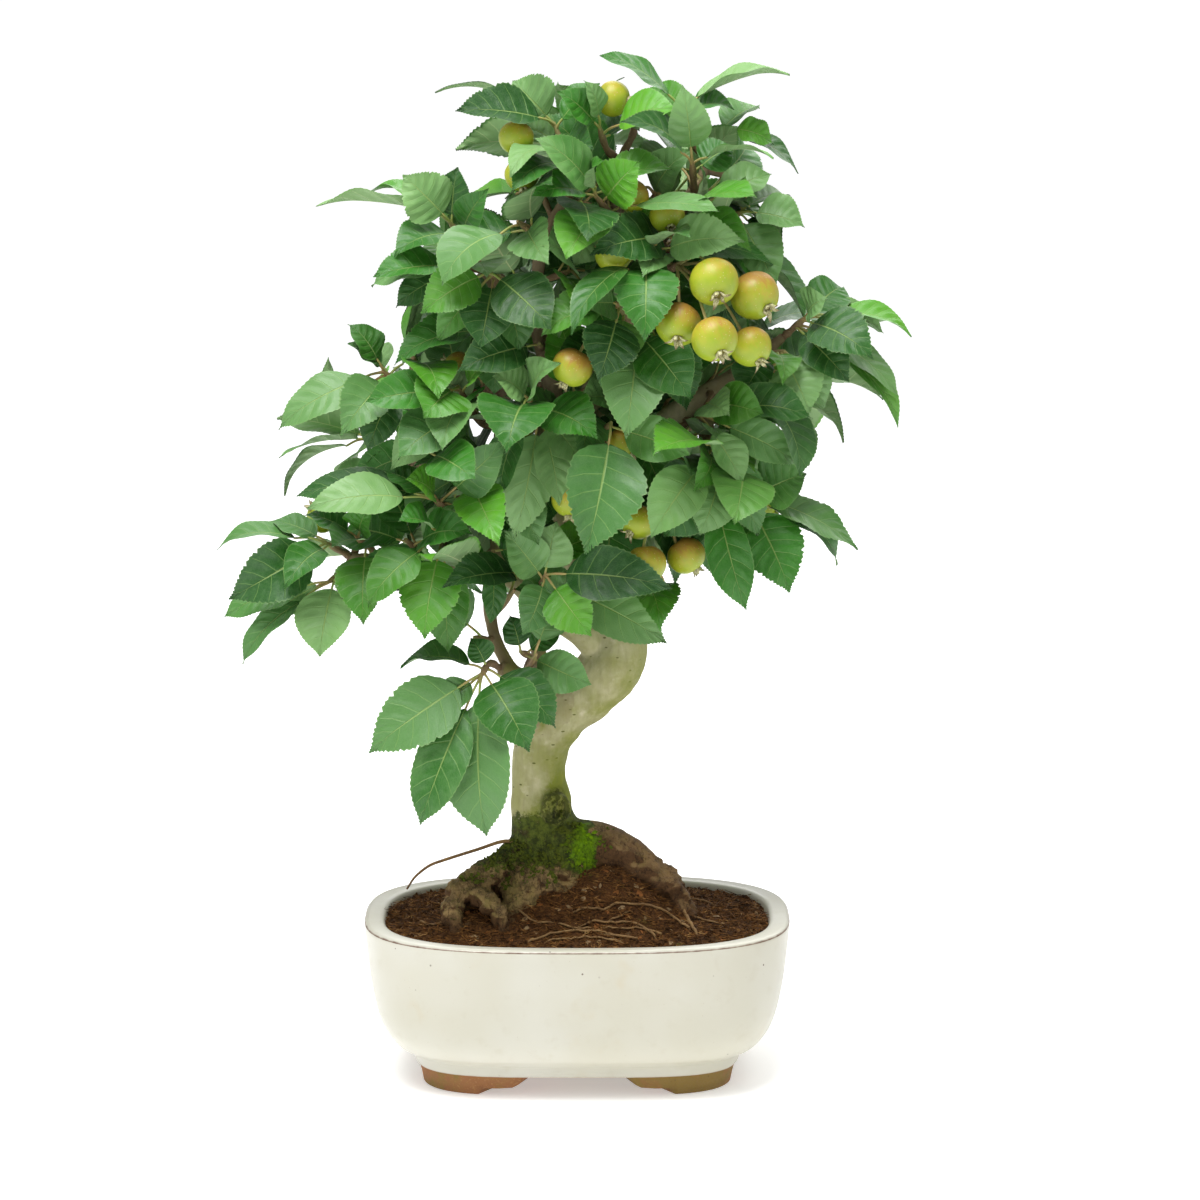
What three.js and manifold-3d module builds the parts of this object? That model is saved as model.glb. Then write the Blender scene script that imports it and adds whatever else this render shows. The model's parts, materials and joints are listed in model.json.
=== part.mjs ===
// A crabapple bonsai in its glazed pot.
//
// Millimetres, +Z up. The plant is built about the centre of the pot, with X along the
// pot's long side and -Y towards the front of the tree. At the end the whole object is
// shifted so that the origin lies under the middle of its outline, on the ground.
//
// The solids: one fired pot, its soil, two drain meshes, one woody plant (roots, trunk,
// branches and twigs in a single body), one solid for each leafy shoot with its leaves,
// and one for each bunch of fruit with its stalks.

import * as THREE from "three";
import { mergeVertices } from "three/addons/utils/BufferGeometryUtils.js";
import Module from "manifold-3d";

const wasm = await Module();
wasm.setup();

// ---- driving dimensions ---------------------------------------------------

const GAP = 0.35; // clear space between two pieces that touch

const POT = {
  sides: 28, // flat faces round the pot
  slim: [21.5, 26.5], // half length minus half depth, at the base and at the rim
  square: [3.9, 2.9], // outline power there: 2 is an ellipse, more is squarer
  base: 8, // height of the base, 10 above the bottom of the feet
  rim: 78, // height of the rim
  floor: 15, // height of the inside floor
  // half length and height up the outside, over the rim and down the inside
  profile: [
    [0, 8], [82, 8], [83.5, 14], [92.5, 19], [99.5, 31], [104, 50], [107, 76],
    [105.6, 78], [98, 78], [96.4, 74], [93, 42], [84, 21], [77, 15], [0, 15],
  ],
  // the soil: half length and height, from the floor up the wall and over the mound
  soil: [
    [0, 15.35], [76.4, 15.35], [83.4, 21.3], [92.4, 42.2], [95.6, 74], [52, 80.6],
    [0, 87],
  ],
};
const DRAIN = { x: 36, radius: 6.5, mesh: 27, thick: 1.2, bar: 4.4, holes: 2 };
const LEAF = { thick: 0.8, stalk: 0.75, arch: 0.1, fold: 0.3 };
const APPLE = { around: 7, rings: 6, squash: 0.94, dimple: 0.3 };

const COLOURS = {
  pot: ["#e6e2d2", 0.25],
  soil: ["#46301f", 1.0],
  mesh: ["#23262a", 0.6],
  bark: ["#8d8265", 0.9],
  leaf: ["#4d8040", 0.5],
  fruit: ["#c9a83f", 0.35],
};

// ---- solids ---------------------------------------------------------------

/** Turns a closed three.js geometry into a solid that can be joined and cut. */
function solid(geometry) {
  const bare = geometry.clone();
  bare.deleteAttribute("normal");
  bare.deleteAttribute("uv");
  const merged = mergeVertices(bare, 1e-4);
  return new wasm.Manifold(new wasm.Mesh({
    numProp: 3,
    vertProperties: new Float32Array(merged.attributes.position.array),
    triVerts: new Uint32Array(merged.index.array),
  }));
}

/** The largest body of a solid: loose scraps go, and a sealed hollow is filled. */
function largestBody(shape) {
  const bodies = shape.decompose();
  bodies.sort((a, b) => b.volume() - a.volume());
  return bodies[0];
}

function geometryOf(shape) {
  const mesh = shape.getMesh();
  const geometry = new THREE.BufferGeometry();
  geometry.setAttribute("position", new THREE.BufferAttribute(mesh.vertProperties, 3));
  geometry.setIndex(new THREE.BufferAttribute(mesh.triVerts, 1));
  geometry.computeVertexNormals();
  return geometry;
}

function joined(shapes) {
  return shapes.reduce((whole, next) => whole.add(next));
}

function box(x0, x1, y0, y1, z0, z1) {
  const geometry = new THREE.BoxGeometry(x1 - x0, y1 - y0, z1 - z0);
  geometry.translate((x0 + x1) / 2, (y0 + y1) / 2, (z0 + z1) / 2);
  return solid(geometry);
}

function vector(list) {
  return new THREE.Vector3(list[0], list[1], list[2]);
}

/** A repeatable stream of numbers from 0 to 1. */
function draws(a, b) {
  let state = (7919 * (a + 1) + 104729 * (b + 1)) % 2147483647;
  return () => {
    state = (state * 16807) % 2147483647;
    return state / 2147483647;
  };
}

function smoothCurve(points) {
  return new THREE.CatmullRomCurve3(points.map(vector), false, "catmullrom", 0.5);
}

/**
 * A tapering limb through points [x, y, z, radius]: a many-sided bar bent along a
 * smooth curve, with one ring at each point. `grow` makes it that much larger all round.
 */
function limb(points, sides, grow = 0) {
  const curve = smoothCurve(points);
  const spans = points.length - 1;
  const corners = [];
  for (let i = 0; i < sides; i++) {
    const angle = (2 * Math.PI * i) / sides;
    corners.push(new THREE.Vector2(Math.cos(angle), Math.sin(angle)));
  }
  const geometry = new THREE.ExtrudeGeometry(new THREE.Shape(corners), {
    depth: 1, steps: spans, bevelEnabled: false,
  });
  const position = geometry.attributes.position;
  const frames = [];
  let side = new THREE.Vector3(0.3, 1, 0.2);
  for (let i = 0; i <= spans; i++) {
    const tangent = curve.getTangent(i / spans);
    side = side.clone().addScaledVector(tangent, -side.dot(tangent)).normalize();
    const centre = vector(points[i]);
    if (i === 0) centre.addScaledVector(tangent, -grow);
    if (i === spans) centre.addScaledVector(tangent, grow);
    const other = new THREE.Vector3().crossVectors(tangent, side);
    frames.push({ centre, side, other, radius: points[i][3] + grow });
  }
  for (let i = 0; i < position.count; i++) {
    const frame = frames[Math.round(position.getZ(i) * spans)];
    const moved = frame.centre.clone();
    moved.addScaledVector(frame.side, position.getX(i) * frame.radius);
    moved.addScaledVector(frame.other, position.getY(i) * frame.radius);
    position.setXYZ(i, moved.x, moved.y, moved.z);
  }
  return solid(geometry);
}

// ---- pot, soil and drain meshes ---------------------------------------------

/** Turns a round lathe into the pot's rounded rectangle. */
function potted(profile) {
  const points = profile.map(([r, z]) => new THREE.Vector2(r, z));
  const geometry = new THREE.LatheGeometry(points, POT.sides);
  geometry.rotateX(Math.PI / 2);
  const position = geometry.attributes.position;
  for (let i = 0; i < position.count; i++) {
    const x = position.getX(i);
    const y = position.getY(i);
    const long = Math.hypot(x, y);
    if (long < 1e-6) continue;
    const height = (position.getZ(i) - POT.base) / (POT.rim - POT.base);
    const level = THREE.MathUtils.clamp(height, 0, 1);
    const slim = THREE.MathUtils.lerp(...POT.slim, level);
    const power = THREE.MathUtils.lerp(...POT.square, level);
    const deep = long * (1 - slim / Math.max(long, slim * 2.2));
    const angle = Math.atan2(y, x);
    const cos = Math.abs(Math.cos(angle));
    const sin = Math.abs(Math.sin(angle));
    const reach = Math.pow(Math.pow(cos, power) + Math.pow(sin, power), -1 / power);
    position.setX(i, long * reach * Math.cos(angle));
    position.setY(i, deep * reach * Math.sin(angle));
  }
  return solid(geometry);
}

/** An elevation [along, height] made `thick` deep, ending at `outer`; `turned` to the side. */
function bracket(points, thick, outer, turned) {
  const shape = new THREE.Shape(points.map(([a, z]) => new THREE.Vector2(a, z)));
  const geometry = new THREE.ExtrudeGeometry(shape, { depth: thick, bevelEnabled: false });
  geometry.rotateX(Math.PI / 2);
  geometry.translate(0, outer, 0);
  if (turned) geometry.rotateZ(Math.PI / 2);
  return solid(geometry);
}

function pot() {
  let body = potted(POT.profile);
  // the feet are a low wall under the edge of the base, cut away between the corners:
  // each is a block with a thinner wing that sweeps up to the body on either side
  const wall = potted([[0, -2], [78.5, -2], [81, 9.5], [0, 9.5]])
    .subtract(potted([[0, -3], [64, -3], [64, 10], [0, 10]]));
  const along = [[50, -2], [90, -2], [90, 9.5], [26, 9.5], [29, 4], [33, 1.4], [48, 1.2]];
  const across = [[32, -2], [70, -2], [70, 9.5], [12, 9.5], [15, 4], [19, 1.4], [30, 1.2]];
  const foot = bracket(along, 70, 70, false).intersect(bracket(across, 90, 0, true));
  for (const sx of [1, -1]) {
    for (const sy of [1, -1]) {
      const flip = new THREE.Matrix4().makeScale(sx, sy, 1);
      body = body.add(foot.transform(flip.elements).intersect(wall));
    }
  }
  for (const sx of [1, -1]) {
    const hole = new THREE.CylinderGeometry(DRAIN.radius, DRAIN.radius, 20, 8);
    hole.rotateX(Math.PI / 2);
    hole.translate(sx * DRAIN.x, 0, 10);
    body = body.subtract(solid(hole));
  }
  return body;
}

function soil(roots) {
  let body = potted(POT.soil);
  const half = DRAIN.mesh / 2 + GAP;
  for (const sx of [1, -1]) {
    body = body.subtract(box(
      sx * DRAIN.x - half, sx * DRAIN.x + half, -half, half,
      POT.floor - 1, POT.floor + DRAIN.thick + 2 * GAP));
  }
  return body.subtract(roots);
}

function drainMesh(x) {
  const half = DRAIN.mesh / 2;
  const z = POT.floor + GAP;
  let plate = box(x - half, x + half, -half, half, z, z + DRAIN.thick);
  const pitch = (DRAIN.mesh - DRAIN.bar) / DRAIN.holes;
  for (let i = 0; i < DRAIN.holes; i++) {
    for (let j = 0; j < DRAIN.holes; j++) {
      const left = x - half + DRAIN.bar + i * pitch;
      const near = -half + DRAIN.bar + j * pitch;
      const open = pitch - DRAIN.bar;
      plate = plate.subtract(box(left, left + open, near, near + open, z - 1, z + 3));
    }
  }
  return plate;
}

// ---- the woody plant -----------------------------------------------------------

// limbs as [x, y, z, radius], from the thick end
const TRUNK = [
  [-8, 0, 58, 27], [-8, 0, 78, 28], [-10, 0, 98, 24], [-15, 0, 116, 18.4],
  [-18, -1, 134, 15.2], [-19, -2, 158, 14], [-10, -4, 180, 15], [5, -6, 194, 16],
  [18, -6, 208, 16], [20, -3, 224, 14.6], [13, 2, 242, 12.6], [3, 5, 262, 11.6],
  [-2, 6, 286, 10.6], [1, 4, 311, 9.6], [8, 1, 336, 8.6], [17, -2, 362, 7.6],
  [27, -4, 387, 6.6], [31, -6, 414, 5.4], [27, -8, 439, 4.4], [21, -12, 459, 3.4],
];
const ROOTS = [
  [[-14, -2, 116, 13], [-35, -7, 100, 12.5], [-49, -12, 90, 10.5], [-57, -20, 82, 7.5],
    [-62, -28, 73, 4.5]],
  [[-12, -6, 108, 12], [-25, -20, 93, 11], [-33, -32, 83, 7], [-38, -42, 73, 4]],
  [[-4, -1, 114, 13], [18, -4, 110, 12], [33, -7, 101, 10], [45, -10, 91, 8.5],
    [54, -15, 81, 6], [60, -19, 72, 4]],
  [[-10, 6, 110, 12], [-15, 22, 94, 9], [-21, 36, 84, 6], [-25, 48, 73, 3.5]],
  [[-2, 6, 110, 11], [16, 20, 95, 8], [29, 31, 85, 5], [38, 40, 74, 3]],
];
// thin roots: one crosses the air to the rim, the others lie just clear of the soil
const THREADS = [
  [[-26, -8, 108, 2.4], [-52, -6, 106, 1.7], [-70, 6, 98, 1.5], [-88, 20, 87, 1.1]],
  [[30, -10, 94, 2.6], [46, -26, 82.5, 1.8], [56, -40, 79.8, 1.4]],
  [[16, -10, 100, 2.6], [24, -34, 82.8, 1.8], [42, -50, 79.2, 1.3]],
  [[-14, -22, 92, 2.6], [4, -44, 80.8, 1.6], [30, -56, 78.4, 1.2]],
];
const BRANCHES = {
  low: [[-11, -8, 186, 6], [-18, -18, 195, 5.2], [-28, -26, 205, 4], [-38, -33, 210, 3.2]],
  lowStem: [
    [-31, -28, 206, 3.6], [-38, -24, 217, 3.3], [-43, -20, 234, 3.2], [-44, -18, 250, 3]],
  innerStem: [[-13, -8, 190, 5], [-18, -14, 204, 4], [-20, -14, 220, 3.7], [-22, -20, 238, 3.2]],
  left: [
    [12, -6, 213, 8], [3, -14, 223, 6.8], [-12, -18, 234, 6.2], [-27, -17, 247, 5.8],
    [-37, -15, 262, 5.4], [-38, -14, 282, 4.9], [-38, -16, 306, 4.5], [-37, -18, 331, 4],
    [-35, -18, 359, 3.5], [-36, -18, 381, 3], [-42, -16, 400, 2.6], [-52, -16, 413, 2.2]],
  lowLeft: [
    [-35, -15, 265, 4.8], [-48, -20, 261, 4.2], [-64, -24, 262, 3.6], [-85, -22, 262, 3.2],
    [-102, -20, 262, 2.8], [-112, -18, 263, 2.4]],
  midLeft: [
    [-38, -16, 304, 4], [-53, -20, 316, 3.4], [-66, -22, 323, 3], [-75, -18, 336, 2.7],
    [-83, -14, 346, 2.4]],
  innerLeft: [
    [1, 2, 309, 6], [-9, -8, 337, 4.6], [-17, -16, 366, 4], [-20, -20, 396, 3.4],
    [-15, -22, 423, 3], [-3, -24, 444, 2.6]],
  right: [
    [-1, 4, 299, 8], [17, 2, 308, 6.8], [36, -4, 320, 6.4], [50, -10, 334, 6],
    [64, -12, 343, 5], [79, -10, 353, 4.2], [91, -8, 363, 3.4], [102, -6, 371, 2.6]],
  rightLow: [
    [61, -12, 341, 4.8], [64, -14, 323, 4.2], [66, -14, 303, 3.8], [72, -14, 292, 3.4]],
  upperRight: [
    [31, -6, 408, 4.6], [43, -12, 423, 3.6], [53, -20, 437, 3], [57, -24, 445, 2.6]],
  topRight: [[47, -14, 428, 3], [60, -8, 449, 2.6], [64, -4, 457, 2.2]],
  shoulder: [[31, -5, 402, 4], [51, -6, 416, 3], [68, -10, 428, 2.6]],
  backLow: [[14, 0, 236, 7], [24, 20, 252, 5.2], [32, 38, 268, 4], [36, 54, 284, 3]],
  backLeft: [[-37, -14, 283, 5], [-52, 6, 292, 4], [-72, 22, 300, 3.2], [-92, 34, 308, 2.6]],
  backMid: [[0, 5, 300, 7], [-14, 24, 318, 5], [-28, 42, 338, 4], [-38, 54, 358, 3]],
  backRight: [[36, -4, 320, 5.4], [52, 16, 328, 4.4], [70, 32, 336, 3.4], [88, 42, 342, 2.6]],
  backHigh: [[17, -2, 362, 6], [24, 18, 380, 4.6], [34, 36, 398, 3.6], [40, 46, 414, 2.8]],
  backTop: [[31, -6, 414, 4.2], [22, 12, 430, 3.4], [8, 26, 446, 2.6]],
};
// healed cuts and a cut stub: a short limb each, standing a little out of the trunk
const KNOTS = [
  [[-14, -2, 134, 8], [-11, -17, 135, 7.4], [-10.4, -18.6, 135, 5]],
  [[-16, -4, 172, 7], [-22, -17, 180, 6], [-23, -19, 181, 4.4]],
  [[18, 0, 222, 8], [6, -13, 231, 6.4], [5, -16.5, 232, 4.6]],
];

// ---- leafy shoots ----------------------------------------------------------------

// Each shoot grows from its twig at `from` to `to`. A leaf is [place on the shoot,
// tip x, y, z, blade width, how far the face is turned to the front, 0 to 10].
const SPRAYS = [
  { name: "low_front", from: [-43, -37, 213], to: [-47, -44, 208], leaves: [
    [1, -45, -62, 131, 33, 9], [1, -77, -56, 136, 27, 9], [0.8, -102, -62, 174, 30, 8],
    [0.7, -23, -66, 175, 29, 9], [0.3, -10, -48, 183, 22, 7], [0.5, -87, -36, 213, 24, 4]] },
  { name: "low_inner", from: [-23, -24, 213], to: [-28, -32, 218], leaves: [
    [1, -33, -30, 236, 13, 8], [0.6, 7, -40, 203, 21, 9]] },
  { name: "elbow", from: [-20, -24, 245], to: [-15, -38, 258], leaves: [
    [0.9, -26, -52, 230, 20, 9], [1, 7, -54, 230, 25, 8], [1, 46, -50, 254, 24, 7],
    [0.8, 45, -40, 224, 28, 8], [0.7, -35, -48, 281, 20, 7]] },
  { name: "elbow_left", from: [-43, -25, 262], to: [-41, -33, 269], leaves: [
    [1, -42, -42, 234, 12, 5], [0.6, -50, -34, 254, 17, 6]] },
  { name: "centre_big", from: [11, -30, 326], to: [17, -46, 334], leaves: [
    [1, 5, -74, 274, 37, 9], [0.7, 55, -46, 318, 22, 7]] },
  { name: "right_low", from: [67, -20, 301], to: [65, -30, 313], leaves: [
    [1, 39, -44, 296, 22, 8], [0.7, 43, -48, 278, 24, 9], [0.2, 54, -44, 240, 23, 9]] },
  { name: "right_low_tip", from: [78, -16, 289], to: [87, -22, 293], leaves: [
    [0.6, 105, -38, 249, 27, 9], [1, 139, -28, 269, 23, 5], [0.8, 131, -12, 259, 19, 3],
    [1, 113, -26, 306, 25, 7]] },
  { name: "right_mid", from: [66, -24, 344], to: [60, -38, 335], leaves: [
    [1, 81, -50, 305, 20, 6], [0.8, 115, -44, 336, 25, 7], [0.9, 109, -34, 312, 21, 6]] },
  { name: "right_tip", from: [105, -8, 374], to: [113, -14, 382], leaves: [
    [1, 165, -16, 374, 22, 3], [0.7, 144, -36, 365, 25, 8], [0.4, 158, -24, 345, 22, 5],
    [0.2, 133, -34, 353, 20, 6], [1, 122, -24, 392, 18, 6]] },
  { name: "right_fill", from: [93, -14, 363], to: [102, -22, 366], leaves: [
    [0.8, 114, -38, 338, 25, 9], [1, 123, -20, 337, 19, 6]] },
  { name: "front_crown", from: [33, -26, 411], to: [34, -46, 417], leaves: [
    [1, 33, -78, 378, 33, 9], [0.7, 80, -54, 429, 27, 8], [0.5, 96, -34, 411, 22, 6],
    [0.9, -21, -68, 395, 21, 5]] },
  { name: "centre", from: [33, -34, 372], to: [19, -50, 393], leaves: [
    [0.15, 55, -64, 349, 25, 9], [0.1, 24, -72, 330, 27, 9], [0.9, 11, -76, 359, 28, 9],
    [1, 4, -66, 394, 18, 7], [0.9, -17, -60, 379, 24, 7]] },
  { name: "centre_left", from: [-37, -26, 396], to: [-42, -38, 407], leaves: [
    [0.9, -12, -62, 382, 25, 7], [0.6, -46, -58, 372, 25, 9], [1, -75, -52, 388, 22, 7]] },
  { name: "heart", from: [-16, -30, 334], to: [-24, -46, 346], leaves: [
    [1, -33, -80, 325, 34, 7], [0.7, -10, -60, 365, 21, 6], [0.4, 10, -64, 330, 25, 7],
    [0.2, -30, -50, 277, 22, 8]] },
  { name: "mid_left", from: [-47, -26, 331], to: [-58, -38, 351], leaves: [
    [0.1, -86, -60, 319, 26, 7], [1, -73, -66, 340, 30, 8], [0.9, -102, -50, 345, 22, 7]] },
  { name: "mid_left_tip", from: [-87, -16, 349], to: [-95, -22, 356], leaves: [
    [1, -147, -30, 330, 22, 7], [0.9, -111, -26, 371, 13, 5], [0.5, -114, -48, 329, 23, 8]] },
  { name: "above_low", from: [-61, -34, 291], to: [-70, -44, 296], leaves: [
    [0.6, -34, -62, 327, 25, 9], [0.8, -82, -56, 308, 20, 6], [1, -131, -58, 294, 24, 6],
    [0.7, -138, -34, 298, 20, 4]] },
  { name: "low_left_mid", from: [-64, -34, 269], to: [-68, -46, 280], leaves: [
    [0.8, -102, -62, 247, 25, 8], [0.4, -74, -66, 231, 28, 9], [0.1, -63, -46, 220, 22, 8]] },
  { name: "low_left_over", from: [-101, -26, 268], to: [-109, -34, 276], leaves: [
    [0.6, -119, -54, 274, 19, 7], [0.8, -101, -44, 292, 18, 6],
    [0.2, -104, -56, 236, 23, 9]] },
  { name: "low_left_tip", from: [-115, -19, 265], to: [-124, -28, 272], leaves: [
    [1, -170, -48, 247, 26, 8], [1, -178, -28, 271, 21, 4]] },
  { name: "low_left_under", from: [-114, -20, 257], to: [-123, -30, 252], leaves: [
    [1, -174, -34, 236, 17, 4], [0.9, -151, -24, 234, 23, 8], [0.5, -126, -50, 219, 25, 9]] },
  { name: "top_left", from: [-1, -26, 450], to: [-11, -24, 478], leaves: [
    [1, -58, -42, 485, 24, 4], [1, -31, -18, 498, 24, 7], [0.95, -69, -4, 492, 17, 1],
    [0.5, -46, -52, 461, 19, 3]] },
  { name: "top_centre", from: [19, -30, 432], to: [9, -44, 444], leaves: [
    [0.9, -21, -66, 446, 19, 4], [1, -19, -50, 471, 20, 5], [0.6, 30, -56, 461, 22, 7],
    [0.3, -5, -74, 417, 29, 7]] },
  { name: "left_upper", from: [-55, -18, 418], to: [-62, -24, 430], leaves: [
    [1, -84, -32, 453, 23, 8], [0.8, -58, -22, 456, 18, 7], [1, -127, -18, 439, 19, 1],
    [0.9, -104, 0, 443, 19, 3]] },
  { name: "left_upper_low", from: [-48, -24, 406], to: [-58, -34, 408], leaves: [
    [0.8, -98, -50, 406, 23, 4], [1, -100, -30, 399, 17, 4], [0.2, -43, -64, 407, 26, 7]] },
  { name: "apex_left", from: [15, -18, 464], to: [11, -26, 476], leaves: [
    [0.6, 48, -44, 486, 25, 6], [1, 5, -30, 497, 14, 5], [0.8, -8, -40, 494, 17, 6]] },
  { name: "apex_right", from: [55, -12, 470], to: [50, -12, 484], leaves: [
    [1, 12, -20, 511, 19, 3], [0.9, 103, -12, 503, 20, 2], [0.7, 77, -18, 485, 20, 5]] },
  { name: "top_right", from: [57, -27, 448], to: [56, -35, 460], leaves: [
    [1, 51, -46, 497, 20, 9], [0.8, 22, -58, 481, 19, 5], [0.9, 95, -46, 463, 17, 1],
    [0.4, 76, -32, 467, 24, 8]] },
  { name: "top_right_side", from: [66, -3, 462], to: [71, -3, 475], leaves: [
    [1, 97, -4, 466, 18, 5], [0.8, 110, 2, 452, 19, 3], [0.5, 90, 14, 484, 18, 4]] },
  { name: "shoulder", from: [72, -12, 430], to: [81, -19, 434], leaves: [
    [1, 111, -30, 428, 23, 5], [0.6, 97, -40, 400, 22, 7], [0.8, 94, -10, 414, 15, 5]] },
];

// Shoots at the back and sides, whose leaves fan round the shoot by a rule.
const BACK_SPRAYS = [
  { name: "back_low", from: [36, 58, 287], to: [38, 70, 292], count: 3 },
  { name: "back_low_inner", from: [10, 40, 262], to: [4, 54, 262], count: 3 },
  { name: "back_left_tip", from: [-96, 36, 310], to: [-106, 42, 314], count: 3 },
  { name: "back_left", from: [-66, 34, 292], to: [-70, 46, 286], count: 3 },
  { name: "back_mid", from: [-40, 57, 361], to: [-46, 67, 368], count: 3 },
  { name: "back_right_tip", from: [92, 44, 344], to: [103, 50, 346], count: 3 },
  { name: "back_right", from: [58, 40, 322], to: [58, 54, 316], count: 3 },
  { name: "back_high", from: [42, 49, 418], to: [46, 60, 424], count: 3 },
  { name: "back_high_left", from: [-34, 8, 396], to: [-44, 20, 402], count: 3 },
  { name: "back_top", from: [5, 29, 449], to: [0, 38, 460], count: 3 },
  { name: "back_centre", from: [14, 46, 352], to: [12, 60, 352], count: 3 },
];

// ---- fruit --------------------------------------------------------------------------

// Each bunch hangs from its twig at `from`. A fruit is [x, y, z, radius] and then the
// way its eye points.
const BUNCHES = [
  { name: "main", from: [46, -40, 409], to: [49, -47, 411], apples: [
    [66, -72, 405, 11.8, 0.15, -0.8, -0.55], [86, -58, 397, 12, 0.55, -0.6, -0.5],
    [49, -66, 384, 11, -0.05, -0.75, -0.65], [66, -84, 379, 11.2, 0.3, -0.7, -0.6],
    [84, -64, 373, 10.2, 0.45, -0.5, -0.7]] },
  { name: "top", from: [28, -7, 472], to: [26, -9, 482], apples: [
    [18, -22, 489, 8.8, 0.9, -0.3, -0.1]] },
  { name: "top_left", from: [-9, -32, 447], to: [-17, -38, 455], apples: [
    [-29, -36, 471, 8.6, -0.1, -0.6, -0.7], [-26, -46, 454, 8.4, 0.1, -0.4, -0.8]] },
  { name: "upper", from: [40, -24, 437], to: [38, -30, 444], apples: [
    [27, -38, 443, 8.2, -0.5, -0.7, -0.3], [44, -44, 434, 8.6, 0.2, -0.7, -0.6]] },
  { name: "light", from: [26, -32, 402], to: [25, -38, 406], apples: [
    [18, -50, 417, 9.4, -0.3, -0.6, 0.2]] },
  { name: "centre", from: [14, -34, 372], to: [11, -40, 375], apples: [
    [-2, -56, 362, 10, -0.45, -0.2, -0.85]] },
  { name: "left", from: [-43, -22, 346], to: [-46, -26, 350], apples: [
    [-58, -24, 358, 8.2, -0.6, 0.1, 0.3]] },
  { name: "mid", from: [4, -20, 306], to: [5, -30, 308], apples: [
    [-3, -46, 296, 9.4, -0.05, -0.3, -0.95], [23, -40, 322, 8.8, 0.5, -0.5, -0.3]] },
  { name: "low", from: [46, -20, 296], to: [44, -26, 294], apples: [
    [30, -40, 284, 8.8, -0.5, -0.6, -0.6], [34, -46, 264, 10, 0.1, -0.2, -0.9],
    [54, -32, 266, 9.6, 0.6, -0.1, -0.8]] },
  { name: "right", from: [76, -8, 296], to: [80, -6, 298], apples: [
    [92, -4, 287, 9, 0.8, -0.2, -0.4]] },
  { name: "far_left", from: [-109, -12, 270], to: [-114, -10, 274], apples: [
    [-126, -8, 282, 8.6, -0.6, -0.2, 0.5]] },
  { name: "back_low", from: [26, 34, 252], to: [26, 40, 247], apples: [
    [16, 50, 232, 9.4, -0.2, 0.4, -0.9], [36, 54, 236, 9, 0.3, 0.4, -0.8]] },
  { name: "back_mid", from: [-26, 48, 336], to: [-26, 54, 334], apples: [
    [-30, 62, 318, 9.2, -0.3, 0.4, -0.9]] },
  { name: "back_high", from: [46, 44, 404], to: [52, 48, 404], apples: [
    [66, 56, 396, 9.4, 0.5, 0.4, -0.7]] },
];

function wood() {
  const shapes = [limb(TRUNK, 9)];
  for (const points of ROOTS) shapes.push(limb(points, 5));
  for (const points of THREADS) shapes.push(limb(points, 3));
  for (const points of Object.values(BRANCHES)) {
    shapes.push(limb(points, points[0][3] > 5 ? 6 : 5));
  }
  for (const points of KNOTS) shapes.push(limb(points, 6));
  return largestBody(joined(shapes));
}

/** The hole that the base of the plant stands in: the same limbs, slightly larger. */
function rootHole() {
  const shapes = [limb(TRUNK.slice(0, 5), 9, GAP + 0.1)];
  for (const points of ROOTS) shapes.push(limb(points, 5, GAP + 0.1));
  return joined(shapes);
}

const woodShape = wood();

// ---- leaves -------------------------------------------------------------------------

// the toothed edge as [place along the rib, part of the half width], base to tip
const EDGE_LARGE = [[0.1, 0.62], [0.34, 1], [0.42, 0.83], [0.66, 0.75], [0.74, 0.5]];
const EDGE_SMALL = [[0.12, 0.64], [0.38, 1], [0.48, 0.78], [0.76, 0.56]];
const EDGE_TINY = [[0.2, 0.86], [0.5, 1], [0.6, 0.7]];
const RIB_LARGE = [0.34, 0.7];
const RIB_SMALL = [0.5];
const LARGE = 12.5; // half width from which a leaf has the finest edge
const TINY = 10.2; // half width up to which it has the plainest

// the ways a leaf may lie, in the order they are tried: [forward shift of the tip,
// swing of the leaf in degrees, part of its length]
const POSES = [];
for (const length of [1, 0.88]) {
  for (const [shift, swing] of [
    [0, 0], [-5, 0], [5, 0], [0, 7], [0, -7], [-10, 0], [10, 0], [-5, 8], [-5, -8],
    [6, 8], [6, -8], [-15, 0], [14, 0], [0, 15], [0, -15], [-12, 13], [-12, -13],
    [12, 13], [12, -13], [-22, 0], [20, 0], [-8, 24], [-8, -24], [8, 24], [8, -24],
  ]) {
    POSES.push([shift, swing, length]);
  }
}

/**
 * The frame of one leaf: where the petiole starts, where the blade starts and ends,
 * and how it is turned, arched and folded.
 */
function leafFrame(root, tip, width, facing, outward, draw, pose) {
  const [shift, swing, part] = pose;
  const reach = tip.clone().sub(root);
  reach.applyAxisAngle(facing, THREE.MathUtils.degToRad(swing)).multiplyScalar(part);
  const end = root.clone().add(reach).addScaledVector(outward, -shift);
  const chord = end.clone().sub(root);
  const length = chord.length();
  chord.normalize();
  const normal = facing.clone().addScaledVector(chord, -facing.dot(chord)).normalize();
  normal.applyAxisAngle(chord, (draw() - 0.5) * 0.7);
  const stalk = Math.min(Math.max(0.27 * length, 4), 18);
  const base = root.clone().addScaledVector(chord, stalk).addScaledVector(normal, 0.05 * length);
  const axis = end.clone().sub(base);
  const blade = axis.length();
  axis.normalize();
  const up = normal.clone().addScaledVector(axis, -normal.dot(axis)).normalize();
  const side = new THREE.Vector3().crossVectors(axis, up);
  return {
    root, base, axis, up, side, blade,
    half: width / 2,
    arch: LEAF.arch * (0.4 + 1.2 * draw()),
    fold: LEAF.fold * (0.4 + 1.2 * draw()),
  };
}

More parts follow.
